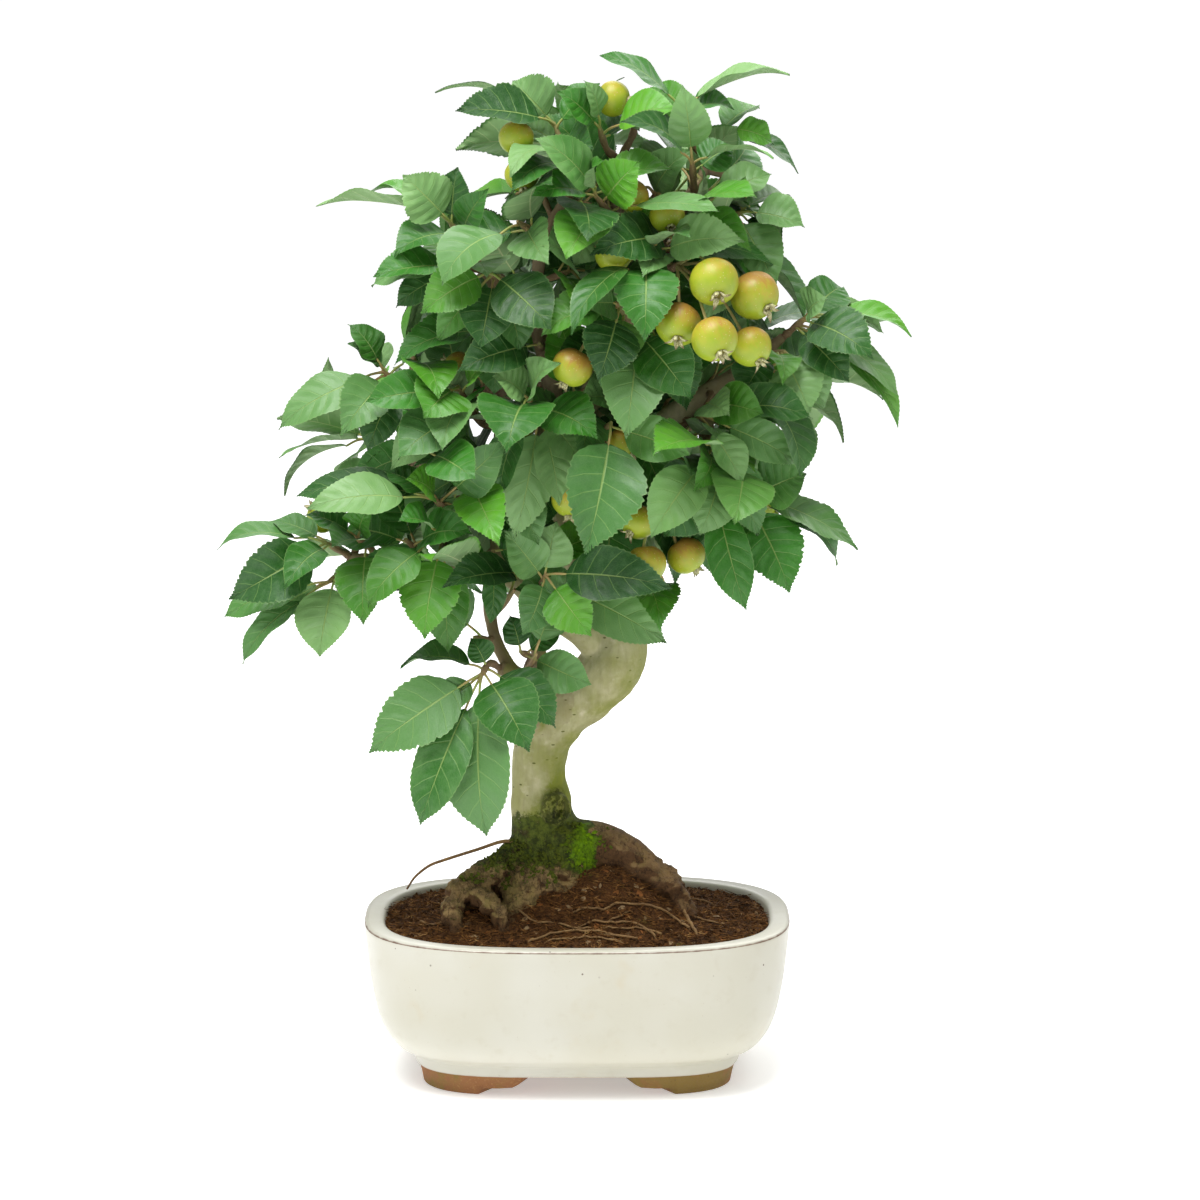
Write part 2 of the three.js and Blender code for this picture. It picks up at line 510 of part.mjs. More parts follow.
/** A point on the blade: `along` the rib from 0 to 1, `out` from the rib in half widths. */
function bladePoint(leaf, along, out, extra = 0) {
  const wide = Math.abs(out) * leaf.half + extra;
  return leaf.base.clone()
    .addScaledVector(leaf.axis, leaf.blade * along)
    .addScaledVector(leaf.up, 4 * leaf.arch * leaf.blade * along * (1 - along))
    .addScaledVector(leaf.side, Math.sign(out) * wide * Math.cos(leaf.fold))
    .addScaledVector(leaf.up, wide * Math.sin(leaf.fold));
}

/**
 * One leaf as one closed solid: a square petiole that widens into a blade folded along
 * its rib, with toothed edges. Both faces are split into the same triangles. `extra`
 * grows it all round, and `whole` is false for the blade without its petiole.
 */
function leafSolid(leaf, extra = 0, whole = true) {
  const large = leaf.half >= LARGE;
  const edge = large ? EDGE_LARGE : leaf.half > TINY ? EDGE_SMALL : EDGE_TINY;
  const half = LEAF.thick / 2 + extra;
  const top = [];
  const deep = [];
  const put = (place, thick) => top.push(place) && deep.push(thick) && top.length - 1;
  const strip = (centre, sign) => centre.clone()
    .addScaledVector(leaf.side, sign * (LEAF.stalk + extra));
  const ring = [];
  if (whole) ring.push(put(strip(leaf.root, -1), LEAF.stalk + extra));
  const neck = [put(strip(leaf.base, -1), 0.7 + extra)];
  ring.push(neck[0]);
  const sides = [[], []];
  edge.forEach(([along, out]) => {
    sides[0].push(put(bladePoint(leaf, along, -out, extra), half));
  });
  ring.push(...sides[0]);
  const end = put(bladePoint(leaf, 1 + extra / leaf.blade, 0), half);
  ring.push(end);
  edge.forEach(([along, out]) => {
    sides[1].push(put(bladePoint(leaf, along + 0.03, out, extra), half));
  });
  ring.push(...sides[1].slice().reverse());
  neck.push(put(strip(leaf.base, 1), 0.7 + extra));
  ring.push(neck[1]);
  if (whole) ring.push(put(strip(leaf.root, 1), LEAF.stalk + extra));
  const rib = (large ? RIB_LARGE : RIB_SMALL).map(
    (along) => put(bladePoint(leaf, along, 0), half));
  // triangles of the upper face, seen from above
  const faces = [[neck[0], neck[1], rib[0]]];
  if (whole) {
    const last = ring[ring.length - 1];
    faces.push([ring[0], last, neck[1]], [ring[0], neck[1], neck[0]]);
  }
  for (const turn of [0, 1]) {
    const run = [neck[turn], ...sides[turn], end];
    const change = large ? edge.length - 1 : run.length;
    for (let i = 0; i < run.length - 1; i++) {
      const centre = i < change ? rib[0] : rib[1];
      const face = [run[i], centre, run[i + 1]];
      faces.push(turn ? face.reverse() : face);
      if (i === change - 1 && large) {
        const link = [run[i + 1], rib[0], rib[1]];
        faces.push(turn ? link.reverse() : link);
      }
    }
  }
  const count = top.length;
  const places = new Float32Array(count * 6);
  top.forEach((place, i) => {
    const high = place.clone().addScaledVector(leaf.up, deep[i]);
    const low = place.clone().addScaledVector(leaf.up, -deep[i]);
    places.set([high.x, high.y, high.z], i * 3);
    places.set([low.x, low.y, low.z], (count + i) * 3);
  });
  const index = [];
  for (const [a, b, c] of faces) {
    index.push(a, b, c, count + a, count + c, count + b);
  }
  ring.forEach((a, i) => {
    const b = ring[(i + 1) % ring.length];
    index.push(a, b, count + b, a, count + b, count + a);
  });
  const geometry = new THREE.BufferGeometry();
  geometry.setAttribute("position", new THREE.BufferAttribute(places, 3));
  geometry.setIndex(index);
  return solid(geometry);
}

/** The branch whose bark is nearest to `place`: its middle there, and its radius. */
function onBranch(place) {
  let best = null;
  let least = Infinity;
  for (const points of [TRUNK.slice(8), ...Object.values(BRANCHES)]) {
    const curve = smoothCurve(points);
    const last = points.length - 1;
    for (let i = 0; i <= last * 10; i++) {
      const centre = curve.getPoint(i / (last * 10));
      const k = Math.min(Math.floor(i / 10), last - 1);
      const radius = THREE.MathUtils.lerp(points[k][3], points[k + 1][3], i / 10 - k);
      const apart = centre.distanceTo(place) - radius;
      if (apart >= least) continue;
      least = apart;
      best = { centre, radius };
    }
  }
  return best;
}

/** A short shoot: it sets off from the bark of the nearest branch and ends at `to`. */
function shoot(from, to, thick) {
  const middle = vector(from);
  const { centre, radius } = onBranch(middle);
  const way = middle.clone().sub(centre).normalize();
  const sizes = [1.05, 1.1, 0.7];
  const bar = (out, grow) => {
    const start = centre.clone().addScaledVector(way, radius + out);
    const places = [start, middle, vector(to)];
    return limb(places.map((p, i) => [p.x, p.y, p.z, sizes[i] * thick]), 4, grow);
  };
  // its lower end is drawn out of the wood until it is clear by the gap
  let inside = -radius;
  let outside = 3;
  for (let i = 0; i < 7; i++) {
    const half = (inside + outside) / 2;
    if (bar(half, GAP).intersect(woodShape).volume() > 1e-6) inside = half;
    else outside = half;
  }
  return bar(outside, 0);
}

/** Leaves for a shoot at the back, fanned round it and drooping with their weight. */
function fannedLeaves(spray, index) {
  const start = vector(spray.from);
  const end = vector(spray.to);
  const aim = end.clone().sub(start).normalize();
  const draw = draws(200 + index, 7);
  const level = new THREE.Vector3(-aim.y, aim.x, 0).normalize();
  const upright = new THREE.Vector3().crossVectors(aim, level);
  if (upright.z < 0) upright.negate();
  const leaves = [];
  for (let i = 0; i < spray.count; i++) {
    const turn = i * 2.4 + index;
    const ahead = 0.35 + 0.5 * draw();
    const way = aim.clone().multiplyScalar(ahead)
      .addScaledVector(level, Math.cos(turn))
      .addScaledVector(upright, 0.75 * Math.sin(turn));
    way.z -= 0.35;
    way.normalize();
    const place = (i + 1) / spray.count;
    const length = 48 + 18 * draw();
    const root = start.clone().lerp(end, place);
    const tip = root.clone().addScaledVector(way, length);
    const width = length * (0.36 + 0.08 * draw());
    leaves.push([place, tip.x, tip.y, tip.z, width, 5]);
  }
  return leaves;
}

const FRONT = new THREE.Vector3(0, -0.985, 0.17);
const UP = new THREE.Vector3(0, 0, 1);

/** Which way a blade looks: between straight up and outwards. */
function facingOf(outward, share) {
  return outward.clone().multiplyScalar(share / 10)
    .addScaledVector(UP, 1.05 - share / 10).normalize();
}

// ---- placing, each piece clear of the ones before it -----------------------------------

const placed = []; // { shape, box } of everything a leaf has to stay clear of

function keep(shape) {
  placed.push({ shape, box: shape.boundingBox() });
}

function apart(a, b) {
  for (let i = 0; i < 3; i++) {
    if (a.max[i] < b.min[i] || b.max[i] < a.min[i]) return true;
  }
  return false;
}

function clearOf(shape, others) {
  const reach = shape.boundingBox();
  return others.every((other) => apart(reach, other.box)
    || shape.intersect(other.shape).volume() < 1e-6);
}

function leafySpray(spray, index, back) {
  const start = vector(spray.from);
  const end = vector(spray.to);
  let whole = shoot(spray.from, spray.to, 2.1);
  const leaves = back ? fannedLeaves(spray, index) : spray.leaves;
  const outward = back ? new THREE.Vector3(start.x, start.y, 0).normalize() : FRONT;
  const own = [];
  leaves.forEach(([place, x, y, z, width, share], j) => {
    const root = start.clone().lerp(end, 0.15 + 0.8 * place);
    const facing = facingOf(outward, share);
    for (const pose of POSES) {
      const draw = draws(index, j);
      const tip = new THREE.Vector3(x, y, z);
      const leaf = leafFrame(root, tip, width, facing, outward, draw, pose);
      const test = leafSolid(leaf, 0.4);
      if (clearOf(test, own) && clearOf(test, placed)) {
        whole = whole.add(leafSolid(leaf));
        const blade = leafSolid(leaf, 0, false);
        own.push({ shape: blade, box: blade.boundingBox() });
        break;
      }
    }
  });
  return largestBody(whole);
}

// ---- apples --------------------------------------------------------------------------

/** An apple with a dimple for its stalk, and the small eye of the flower at the far end. */
function apple(centre, radius, axis) {
  const geometry = new THREE.SphereGeometry(radius, APPLE.around, APPLE.rings);
  const position = geometry.attributes.position;
  const step = Math.PI / APPLE.rings;
  for (let i = 0; i < position.count; i++) {
    const ring = Math.round(Math.acos(position.getY(i) / radius) / step);
    let wide = 1;
    let high = APPLE.squash;
    if (ring === APPLE.rings) high *= 1 - APPLE.dimple; // the stalk's dimple
    if (ring === 1) wide = 0.5; // the foot of the eye
    if (ring === 1) high *= 0.98;
    position.setXYZ(i, position.getX(i) * wide, position.getY(i) * high,
      position.getZ(i) * wide);
  }
  const turn = new THREE.Quaternion().setFromUnitVectors(new THREE.Vector3(0, 1, 0), axis);
  geometry.applyQuaternion(turn);
  geometry.translate(centre.x, centre.y, centre.z);
  return solid(geometry);
}

function fruitBunch(bunch) {
  const start = vector(bunch.from);
  const end = vector(bunch.to);
  let whole = shoot(bunch.from, bunch.to, 2.3);
  for (const [x, y, z, radius, ax, ay, az] of bunch.apples) {
    const axis = new THREE.Vector3(ax, ay, az).normalize();
    const centre = new THREE.Vector3(x, y, z);
    whole = whole.add(apple(centre, radius, axis));
    const dimple = centre.clone().addScaledVector(axis, -radius * 0.55);
    const root = start.clone().lerp(end, 0.9);
    const bend = centre.clone().addScaledVector(axis, -radius * 1.3).lerp(root, 0.35);
    bend.z += 0.1 * centre.distanceTo(root);
    const places = [root, bend, dimple];
    whole = whole.add(limb(places.map((p) => [p.x, p.y, p.z, 1]), 3));
  }
  return largestBody(whole);
}

// ---- the whole object ------------------------------------------------------------------

const group = new THREE.Group();
const plant = new THREE.Group();
group.add(plant);

function addMesh(name, shape, look) {
  const [colour, roughness] = COLOURS[look];
  const material = new THREE.MeshStandardMaterial({ color: colour, roughness, metalness: 0 });
  const mesh = new THREE.Mesh(geometryOf(shape), material);
  mesh.name = name;
  plant.add(mesh);
}

const potShape = pot();
addMesh("pot", potShape, "pot");
addMesh("soil", largestBody(soil(rootHole())), "soil");
addMesh("drain_mesh_left", drainMesh(-DRAIN.x), "mesh");
addMesh("drain_mesh_right", drainMesh(DRAIN.x), "mesh");
addMesh("tree_wood", woodShape, "bark");
keep(woodShape);
keep(potShape);

for (const bunch of BUNCHES) {
  const shape = fruitBunch(bunch);
  addMesh(`fruit_${bunch.name}`, shape, "fruit");
  keep(shape);
}

// every shoot is set first, so that no leaf crosses the shoot of another spray
[...SPRAYS, ...BACK_SPRAYS].forEach((spray) => {
  spray.block = shoot(spray.from, spray.to, 2.5);
});
[...SPRAYS, ...BACK_SPRAYS].forEach((spray, index) => {
  const back = index >= SPRAYS.length;
  const others = [...SPRAYS, ...BACK_SPRAYS].filter((other) => other !== spray)
    .map((other) => ({ shape: other.block, box: other.block.boundingBox() }));
  placed.push(...others);
  const shape = leafySpray(spray, index, back);
  placed.splice(placed.length - others.length, others.length);
  addMesh(`leaves_${spray.name}`, shape, "leaf");
  keep(shape);
});

const outline = new THREE.Box3().setFromObject(group);
plant.position.x = -(outline.min.x + outline.max.x) / 2;
plant.position.y = -(outline.min.y + outline.max.y) / 2;
plant.position.z = -outline.min.z;
group.updateMatrixWorld(true);

export default group;
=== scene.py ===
# %% [markdown]
# # A crabapple bonsai in its cream glazed pot
#
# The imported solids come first, as a fixed frame: pot, soil, drain meshes, the woody
# plant, its leafy shoots and its bunches of fruit. Each solid has the right place and
# size, but only a few flat faces. Every step below dresses one kind of piece: it makes
# a finer form of the same shape, gives it a material built from nodes, and says which
# solids it stands for.

# %% Load the frame
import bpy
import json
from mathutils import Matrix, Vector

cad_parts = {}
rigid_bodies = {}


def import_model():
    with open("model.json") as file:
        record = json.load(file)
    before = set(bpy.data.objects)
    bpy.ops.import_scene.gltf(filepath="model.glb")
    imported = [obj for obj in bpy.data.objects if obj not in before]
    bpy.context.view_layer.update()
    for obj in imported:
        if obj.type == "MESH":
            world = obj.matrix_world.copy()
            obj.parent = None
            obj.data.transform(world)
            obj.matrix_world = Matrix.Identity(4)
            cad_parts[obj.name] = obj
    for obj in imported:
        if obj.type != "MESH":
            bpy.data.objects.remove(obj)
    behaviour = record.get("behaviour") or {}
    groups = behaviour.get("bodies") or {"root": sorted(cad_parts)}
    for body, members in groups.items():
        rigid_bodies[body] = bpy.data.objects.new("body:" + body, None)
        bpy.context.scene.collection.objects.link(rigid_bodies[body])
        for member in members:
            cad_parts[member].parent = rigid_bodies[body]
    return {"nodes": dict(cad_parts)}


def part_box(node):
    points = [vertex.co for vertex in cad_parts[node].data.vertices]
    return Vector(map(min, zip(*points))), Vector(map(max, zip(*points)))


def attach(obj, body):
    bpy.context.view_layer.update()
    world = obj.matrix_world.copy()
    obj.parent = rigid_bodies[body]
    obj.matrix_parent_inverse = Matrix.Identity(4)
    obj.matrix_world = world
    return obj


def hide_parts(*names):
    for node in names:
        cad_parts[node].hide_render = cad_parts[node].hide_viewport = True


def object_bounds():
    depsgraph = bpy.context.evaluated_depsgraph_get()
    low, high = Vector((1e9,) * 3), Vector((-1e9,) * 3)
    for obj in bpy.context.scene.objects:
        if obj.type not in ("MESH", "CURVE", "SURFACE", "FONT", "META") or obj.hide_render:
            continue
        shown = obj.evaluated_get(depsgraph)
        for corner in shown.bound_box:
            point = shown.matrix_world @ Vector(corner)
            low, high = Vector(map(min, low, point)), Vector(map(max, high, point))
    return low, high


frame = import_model()
cad_low, cad_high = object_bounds()
print("solids:", len(frame["nodes"]), "box:", cad_low, cad_high)

# %% Libraries and the plant's own origin
import json
import math

import bmesh
import bpy
import numpy as np
from mathutils import Matrix, Vector
from mathutils.bvhtree import BVHTree
from mathutils.kdtree import KDTree
from mathutils import noise

MM = 0.001  # sizes below are in millimetres, Blender works in metres
pot_low, pot_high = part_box("pot")
ORIGIN = Vector((
    (pot_low[0] + pot_high[0]) / 2, (pot_low[1] + pot_high[1]) / 2, pot_low[2] + 2 * MM))


def at(point):
    """A place in the pot's own millimetres, turned into the frame's metres."""
    return ORIGIN + Vector(point[:3]) * MM


def placed(name, data):
    """A new object in the scene that shows this mesh, lamp or camera."""
    made = bpy.data.objects.new(name, data)
    bpy.context.collection.objects.link(made)
    return made


print("the pot's middle lies at", tuple(round(c, 5) for c in ORIGIN))

# %% [markdown]
# ## Camera, floor and light
#
# A bonsai is shown from its front, from slightly above, so that the eye sees both the
# trunk and the soil. A long lens from two metres away keeps the pot's sides upright.
# The light is plain and soft: one large lamp above and in front, a weaker one at each
# side, one behind for the sheen on leaves that face up, and an even white surrounding
# that fills the shadows between the leaves.

# %% Camera
DISTANCE = 2200
ELEVATION = math.radians(10)
SEEN_WIDTH = 600  # millimetres across the picture at the tree
SENSOR = 36
TARGET = (11.5, 0, 238.2)

camera_data = bpy.data.cameras.new("camera")
camera_data.sensor_width = SENSOR
camera_data.lens = SENSOR * DISTANCE / SEEN_WIDTH
camera = placed("camera", camera_data)
back = Vector((0, -math.cos(ELEVATION), math.sin(ELEVATION))) * DISTANCE
camera.location = at(Vector(TARGET) + back)
camera.rotation_euler = (math.pi / 2 - ELEVATION, 0, 0)
bpy.context.scene.camera = camera
print("lens", round(camera_data.lens, 1), "mm at", tuple(round(c, 3) for c in camera.location))

# %% Floor
# the far end of a studio sweep is lit from below, so it stays white: radius, glow
SWEEP = [(0.5, 0.55), (0.9, 0.6), (1.4, 0.75), (2.2, 0.9), (3.2, 1), (40, 1)]
SWEEP_SIDES = 48
corners, glows, faces = [(0, 0, 0)], [SWEEP[0][1]], []
for ring, (radius, glow) in enumerate(SWEEP):
    for step in range(SWEEP_SIDES):
        angle = math.tau * step / SWEEP_SIDES
        corners.append((radius * math.cos(angle), radius * math.sin(angle), 0))
        glows.append(glow)
        first = 1 + ring * SWEEP_SIDES
        here, after = first + step, first + (step + 1) % SWEEP_SIDES
        if ring:
            faces.append((here - SWEEP_SIDES, here, after, after - SWEEP_SIDES))
        else:
            faces.append((0, here, after))
floor_mesh = bpy.data.meshes.new("floor")
floor_mesh.from_pydata(corners, [], faces)
floor_mesh.attributes.new("glow", "FLOAT", "POINT").data.foreach_set("value", glows)
placed("floor", floor_mesh)
paint = bpy.data.materials.new("floor_paint")
paint.use_nodes = True
paint_inputs = paint.node_tree.nodes["Principled BSDF"].inputs
paint_inputs["Base Color"].default_value = (0.9, 0.9, 0.9, 1)
paint_inputs["Roughness"].default_value = 0.9
paint_inputs["Emission Strength"].default_value = 0.7
glow_node = paint.node_tree.nodes.new("ShaderNodeAttribute")
glow_node.attribute_name = "glow"
paint.node_tree.links.new(glow_node.outputs["Color"], paint_inputs["Emission Color"])
floor_mesh.materials.append(paint)


# %% Lamps and surroundings
def lamp(name, place, power, size):
    """A square soft lamp aimed at the middle of the tree."""
    data = bpy.data.lights.new(name, "AREA")
    data.energy = power
    data.size = size
    lit = placed(name, data)
    lit.location = place
    aim = Vector((0, 0, 0.25)) - Vector(place)
    lit.rotation_euler = aim.to_track_quat("-Z", "Y").to_euler()


lamp("lamp_over", (-0.3, -0.55, 2.0), 46, 1.1)
lamp("lamp_left", (-1.9, -1.3, 0.9), 4.5, 1.2)
lamp("lamp_right", (1.9, -1.2, 0.9), 3.5, 1.2)
lamp("lamp_behind", (0.3, 1.5, 1.5), 20, 1.6)

world = bpy.data.worlds.new("studio")
world.use_nodes = True
world.node_tree.nodes["Background"].inputs["Color"].default_value = (1, 1, 1, 1)
world.node_tree.nodes["Background"].inputs["Strength"].default_value = 0.38
bpy.context.scene.world = world
bpy.context.scene.view_settings.view_transform = "Standard"

# %% [markdown]
# ## Node trees written as sums
#
# Materials and Geometry Nodes are both trees of small boxes. Wiring each box by hand
# hides the idea behind the wires. The two small classes below let a formula be written
# as Python writes it: a socket times a number adds a Math node, and a sum of vectors
# adds a Vector Math node. Every other box comes from one method, `Graph.node`.


# %% Sockets as numbers and vectors
class Value:
    """An output socket that takes part in a sum as a number does."""

    def __init__(self, graph, socket):
        self.graph = graph
        self.socket = socket

    def maths(self, operation, *others):
        return self.graph.node("ShaderNodeMath", {"operation": operation},
                               dict(enumerate((self, *others))))

    def __add__(self, other):
        return self.maths("ADD", other)

    def __sub__(self, other):
        return self.maths("SUBTRACT", other)

    def __mul__(self, other):
        return self.maths("MULTIPLY", other)

    def __truediv__(self, other):
        return self.maths("DIVIDE", other)

    def __rsub__(self, other):
        return (self * -1.0) + other

    __radd__ = __add__
    __rmul__ = __mul__


class Arrow(Value):
    """An output socket that holds a vector."""

    def vector(self, operation, other, slot=1):
        return self.graph.node("ShaderNodeVectorMath", {"operation": operation},
                               {0: self, slot: other})

    def __add__(self, other):
        return self.vector("ADD", other)

    def __sub__(self, other):
        return self.vector("SUBTRACT", other)

    def __mul__(self, other):
        return self.vector("SCALE", other, slot="Scale")


class Graph:
    """A node tree that new boxes are added to."""

    def __init__(self, tree):
        self.tree = tree

    def node(self, kind, settings=None, inputs=None, output=0):
        """Adds a node: its settings first, then the numbers or links of its sockets."""
        made = self.tree.nodes.new(kind)
        for name, setting in (settings or {}).items():
            setattr(made, name, setting)
        for name, given in (inputs or {}).items():
            if isinstance(given, Value):
                self.tree.links.new(given.socket, made.inputs[name])
            else:
                made.inputs[name].default_value = given
        if output is None:
            return made
        socket = made.outputs[output]
        return (Arrow if socket.type == "VECTOR" else Value)(self, socket)


# %% Helpers that every material uses
def shade(value, low, high, start=0.0, end=1.0):
    """Goes smoothly from `start` to `end` while the value goes from `low` to `high`."""
    return value.graph.node(
        "ShaderNodeMapRange", {"interpolation_type": "SMOOTHSTEP"},
        {"Value": value, "From Min": low, "From Max": high, "To Min": start, "To Max": end})


def parted(graph, vector):
    """The three numbers of a vector."""
    parts = graph.node("ShaderNodeSeparateXYZ", inputs={0: vector}, output=None)
    return [Value(graph, socket) for socket in parts.outputs]


def mixed(factor, first, second):
    """Two colours mixed: factor 0 gives the first and 1 the second."""
    return factor.graph.node("ShaderNodeMix", {"data_type": "RGBA"},
                             {0: factor, 6: first, 7: second}, output=2)


def colour(red, green, blue):
    """A colour as a screen names it, 0 to 255, in the linear light that shaders use."""
    parts = []
    for part in (red, green, blue):
        part /= 255
        parts.append(part / 12.92 if part <= 0.04045 else ((part + 0.055) / 1.055) ** 2.4)
    return (*parts, 1.0)


def cloud(graph, where, size, detail=3.0, rough=0.55):
    """Cloudy noise from 0 to 1 whose lumps are about `size` millimetres across."""
    return graph.node("ShaderNodeTexNoise", {"noise_dimensions": "3D"}, {
        "Vector": where, "Scale": 1 / (size * MM), "Detail": detail, "Roughness": rough})


def cells(graph, where, size, feature="F1"):
    """A cell pattern whose cells are about `size` millimetres across."""
    return graph.node("ShaderNodeTexVoronoi", {"feature": feature}, {
        "Vector": where, "Scale": 1 / (size * MM)}, output="Distance")


def stretched(graph, where, scale):
    """Coordinates with each axis multiplied, for patterns that are longer one way."""
    return graph.node("ShaderNodeMapping", {"vector_type": "POINT"},
                      {"Vector": where, "Scale": scale})


def new_material(name):
    """An empty material, its tree of nodes, and the place on the object in that tree."""
    material = bpy.data.materials.new(name)
    material.use_nodes = True
    material.node_tree.nodes.clear()
    graph = Graph(material.node_tree)
    return material, graph, graph.node("ShaderNodeTexCoord", output="Object")


def named(graph, name, output="Fac"):
    """A number or vector that the mesh carries under a name."""
    return graph.node("ShaderNodeAttribute", {"attribute_name": name}, output=output)


def finish_material(graph, base, roughness, height, depth, fixed=None):
    """Ends a material: colour, roughness, and a bump of `depth` millimetres."""
    bump = graph.node("ShaderNodeBump", inputs={
        "Strength": 1.0, "Distance": depth * MM, "Height": height})
    surface = graph.node("ShaderNodeBsdfPrincipled", inputs={
        "Base Color": base, "Roughness": roughness, "Normal": bump, **(fixed or {})})
    graph.node("ShaderNodeOutputMaterial", {"target": "ALL"}, {"Surface": surface}, None)


# %% [markdown]
# ## Pieces as meshes
#
# Each finished piece is one object at the origin with its place in its mesh. The helper
# below makes such an object from plain lists, lets numbers ride on its corners as named
# attributes (the materials read them), and rides it on the model's one body.


# %% Helpers that make a piece
def new_mesh(name, corners, faces, smooth=True):
    """A mesh from plain lists, its faces shaded smooth or flat."""
    mesh = bpy.data.meshes.new(name)
    mesh.from_pydata([tuple(c) for c in corners], [], faces)
    mesh.validate()
    if smooth:
        mesh.shade_smooth()
    return mesh


def lines_from(name, corners, edges):
    """A mesh of loose lines, for a tree of nodes to thicken."""
    mesh = bpy.data.meshes.new(name)
    mesh.from_pydata([tuple(c) for c in corners], edges, [])
    return mesh


def carry(mesh, name, numbers):
    """Stores one number, or one vector, for each corner of the mesh under a name."""
    numbers = np.array([tuple(n) if hasattr(n, "__len__") else n for n in numbers], np.float32)
    kind, field = ("FLOAT", "value") if numbers.ndim == 1 else ("FLOAT_VECTOR", "vector")
    layer = mesh.attributes.new(name, kind, "POINT")
    layer.data.foreach_set(field, numbers.ravel())


def drop(mesh, names):
    """Takes attributes that only the trees of nodes need off a mesh."""
    for name in names:
        if name in mesh.attributes:
            mesh.attributes.remove(mesh.attributes[name])


def add_piece(name, mesh, nodes=()):
    """Hands a finished mesh over as a piece that stands for the named solids."""
    piece = placed(name, mesh)
    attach(piece, "root")
    if nodes:
        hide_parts(*nodes)
    mesh.calc_loop_triangles()
    print(f"{name}: {len(mesh.loop_triangles)} triangles")


def smooth_line(knots, steps):
    """Points on the smooth curve through the knots, `steps` of them between each two."""
    knots = np.asarray(knots, dtype=float)
    padded = np.vstack([2 * knots[0] - knots[1], knots, 2 * knots[-1] - knots[-2]])
    line = []
    for a, b, c, d in zip(padded, padded[1:], padded[2:], padded[3:]):
        for t in np.arange(steps) / steps:
            line.append(b + 0.5 * t * ((c - a) + t * (
                (2 * a - 5 * b + 4 * c - d) + t * (3 * (b - c) + d - a))))
    return np.array([*line, knots[-1]])


def ring_faces(rings, around):
    """The faces between rings of corners; a ring of one corner closes the shape."""
    faces = []
    for low, high in zip(rings, rings[1:]):
        for step in range(around):
            after = (step + 1) % around
            face = [low[step % len(low)], low[after % len(low)],
                    high[after % len(high)], high[step % len(high)]]
            faces.append(list(dict.fromkeys(face)))
    return faces


def bar_faces(rings, sides):
    """The faces of a closed bar whose corners come ring by ring, with both its ends."""
    faces = []
    for i in range(rings - 1):
        for j in range(sides):
            k = (j + 1) % sides
            faces.append([i * sides + j, i * sides + k, (i + 1) * sides + k, (i + 1) * sides + j])
    faces.append(list(range(sides))[::-1])
    faces.append([(rings - 1) * sides + j for j in range(sides)])
    return faces


# %% [markdown]
# ## The pot
#
# The real pot is slip-cast clay: a rounded rectangle that swells towards the rim, with
# a flat lip, a low moulded band at its base, and four short feet at the corners. One
# profile, drawn from the middle of the base up the outside, over the lip and down the
# inside, is carried round a rounded-rectangle track. Each point of the profile uses the
# track's own squareness at its height. The lip and the band get several close points,
# so that the glaze turns their edges softly.

# %% The pot's outline at any height
POT_SLIM = (21.5, 26.5)  # half length minus half depth, at the base and the rim
POT_SQUARE = (3.9, 2.9)  # 2 would be an ellipse, more is squarer
POT_BASE, POT_RIM = 8.0, 78.0


def track(long, height, angle):
    """The place at that angle on the rounded rectangle with that half length."""
    level = min(max((height - POT_BASE) / (POT_RIM - POT_BASE), 0), 1)
    slim = POT_SLIM[0] + (POT_SLIM[1] - POT_SLIM[0]) * level
    power = POT_SQUARE[0] + (POT_SQUARE[1] - POT_SQUARE[0]) * level
    deep = long * (1 - slim / max(long, slim * 2.2))
    cos, sin = math.cos(angle), math.sin(angle)
    stretch = (abs(cos) ** power + abs(sin) ** power) ** (-1 / power)
    return Vector((long * stretch * cos, deep * stretch * sin, height))


def turned(profile, around, marks=None):
    """Carries a profile of (half length, height) round the track into a closed mesh."""
    corners, numbers, rings = [], [], []
    for index, (long, height) in enumerate(profile):
        mark = marks[index] if marks else 0
        if long < 0.01:
            rings.append([len(corners)])
            corners.append(at((0, 0, height)))
            numbers.append(mark)
            continue
        rings.append(list(range(len(corners), len(corners) + around)))
        for step in range(around):
            corners.append(at(track(long, height, 2 * math.pi * step / around)))
            numbers.append(mark)
    return corners, ring_faces(rings, around), numbers


# %% The pot's profile
side = smooth_line([(84.6, 14.6), (92.5, 19.6), (99.5, 31), (104, 50), (106.6, 70)], 6)
lip = [(107.05, 74.6), (107.2, 75.8), (107.1, 76.8), (106.5, 77.6), (105.4, 78.0),
       (104, 78.05), (101.5, 78.0), (99.6, 77.9), (98.2, 77.6), (97.3, 76.8), (96.9, 75.6)]
wall = smooth_line([(96.4, 73), (93, 42), (84, 21), (77, 15.2)], 6)
foot_band = [(0, 8), (40, 8), (70, 8), (80.4, 8), (81.5, 8.3), (82, 9.1), (82.5, 11.4),
             (82.7, 12.9), (82.9, 13.5), (83.5, 13.9)]
inside_floor = [(70, 15), (40, 15), (0, 15)]
profile = [*foot_band, *map(tuple, side), *lip, *map(tuple, wall), *inside_floor]
print("profile points:", len(profile))

# how close each point of the profile lies to the lip's outer edge and to its inner one
rim_marks = []
for long, height in profile:
    outer = math.hypot(long - 107.0, height - 77.2)
    inner = math.hypot(long - 97.9, height - 77.4)
    rim_marks.append(max(0, 1 - outer / 1.5) + 0.45 * max(0, 1 - inner / 1.2))

# %% The body of the pot
AROUND = 224
corners, faces, rim = turned(profile, AROUND, rim_marks)
pot_mesh = new_mesh("pot_body", corners, faces)
carry(pot_mesh, "rim_edge", rim)


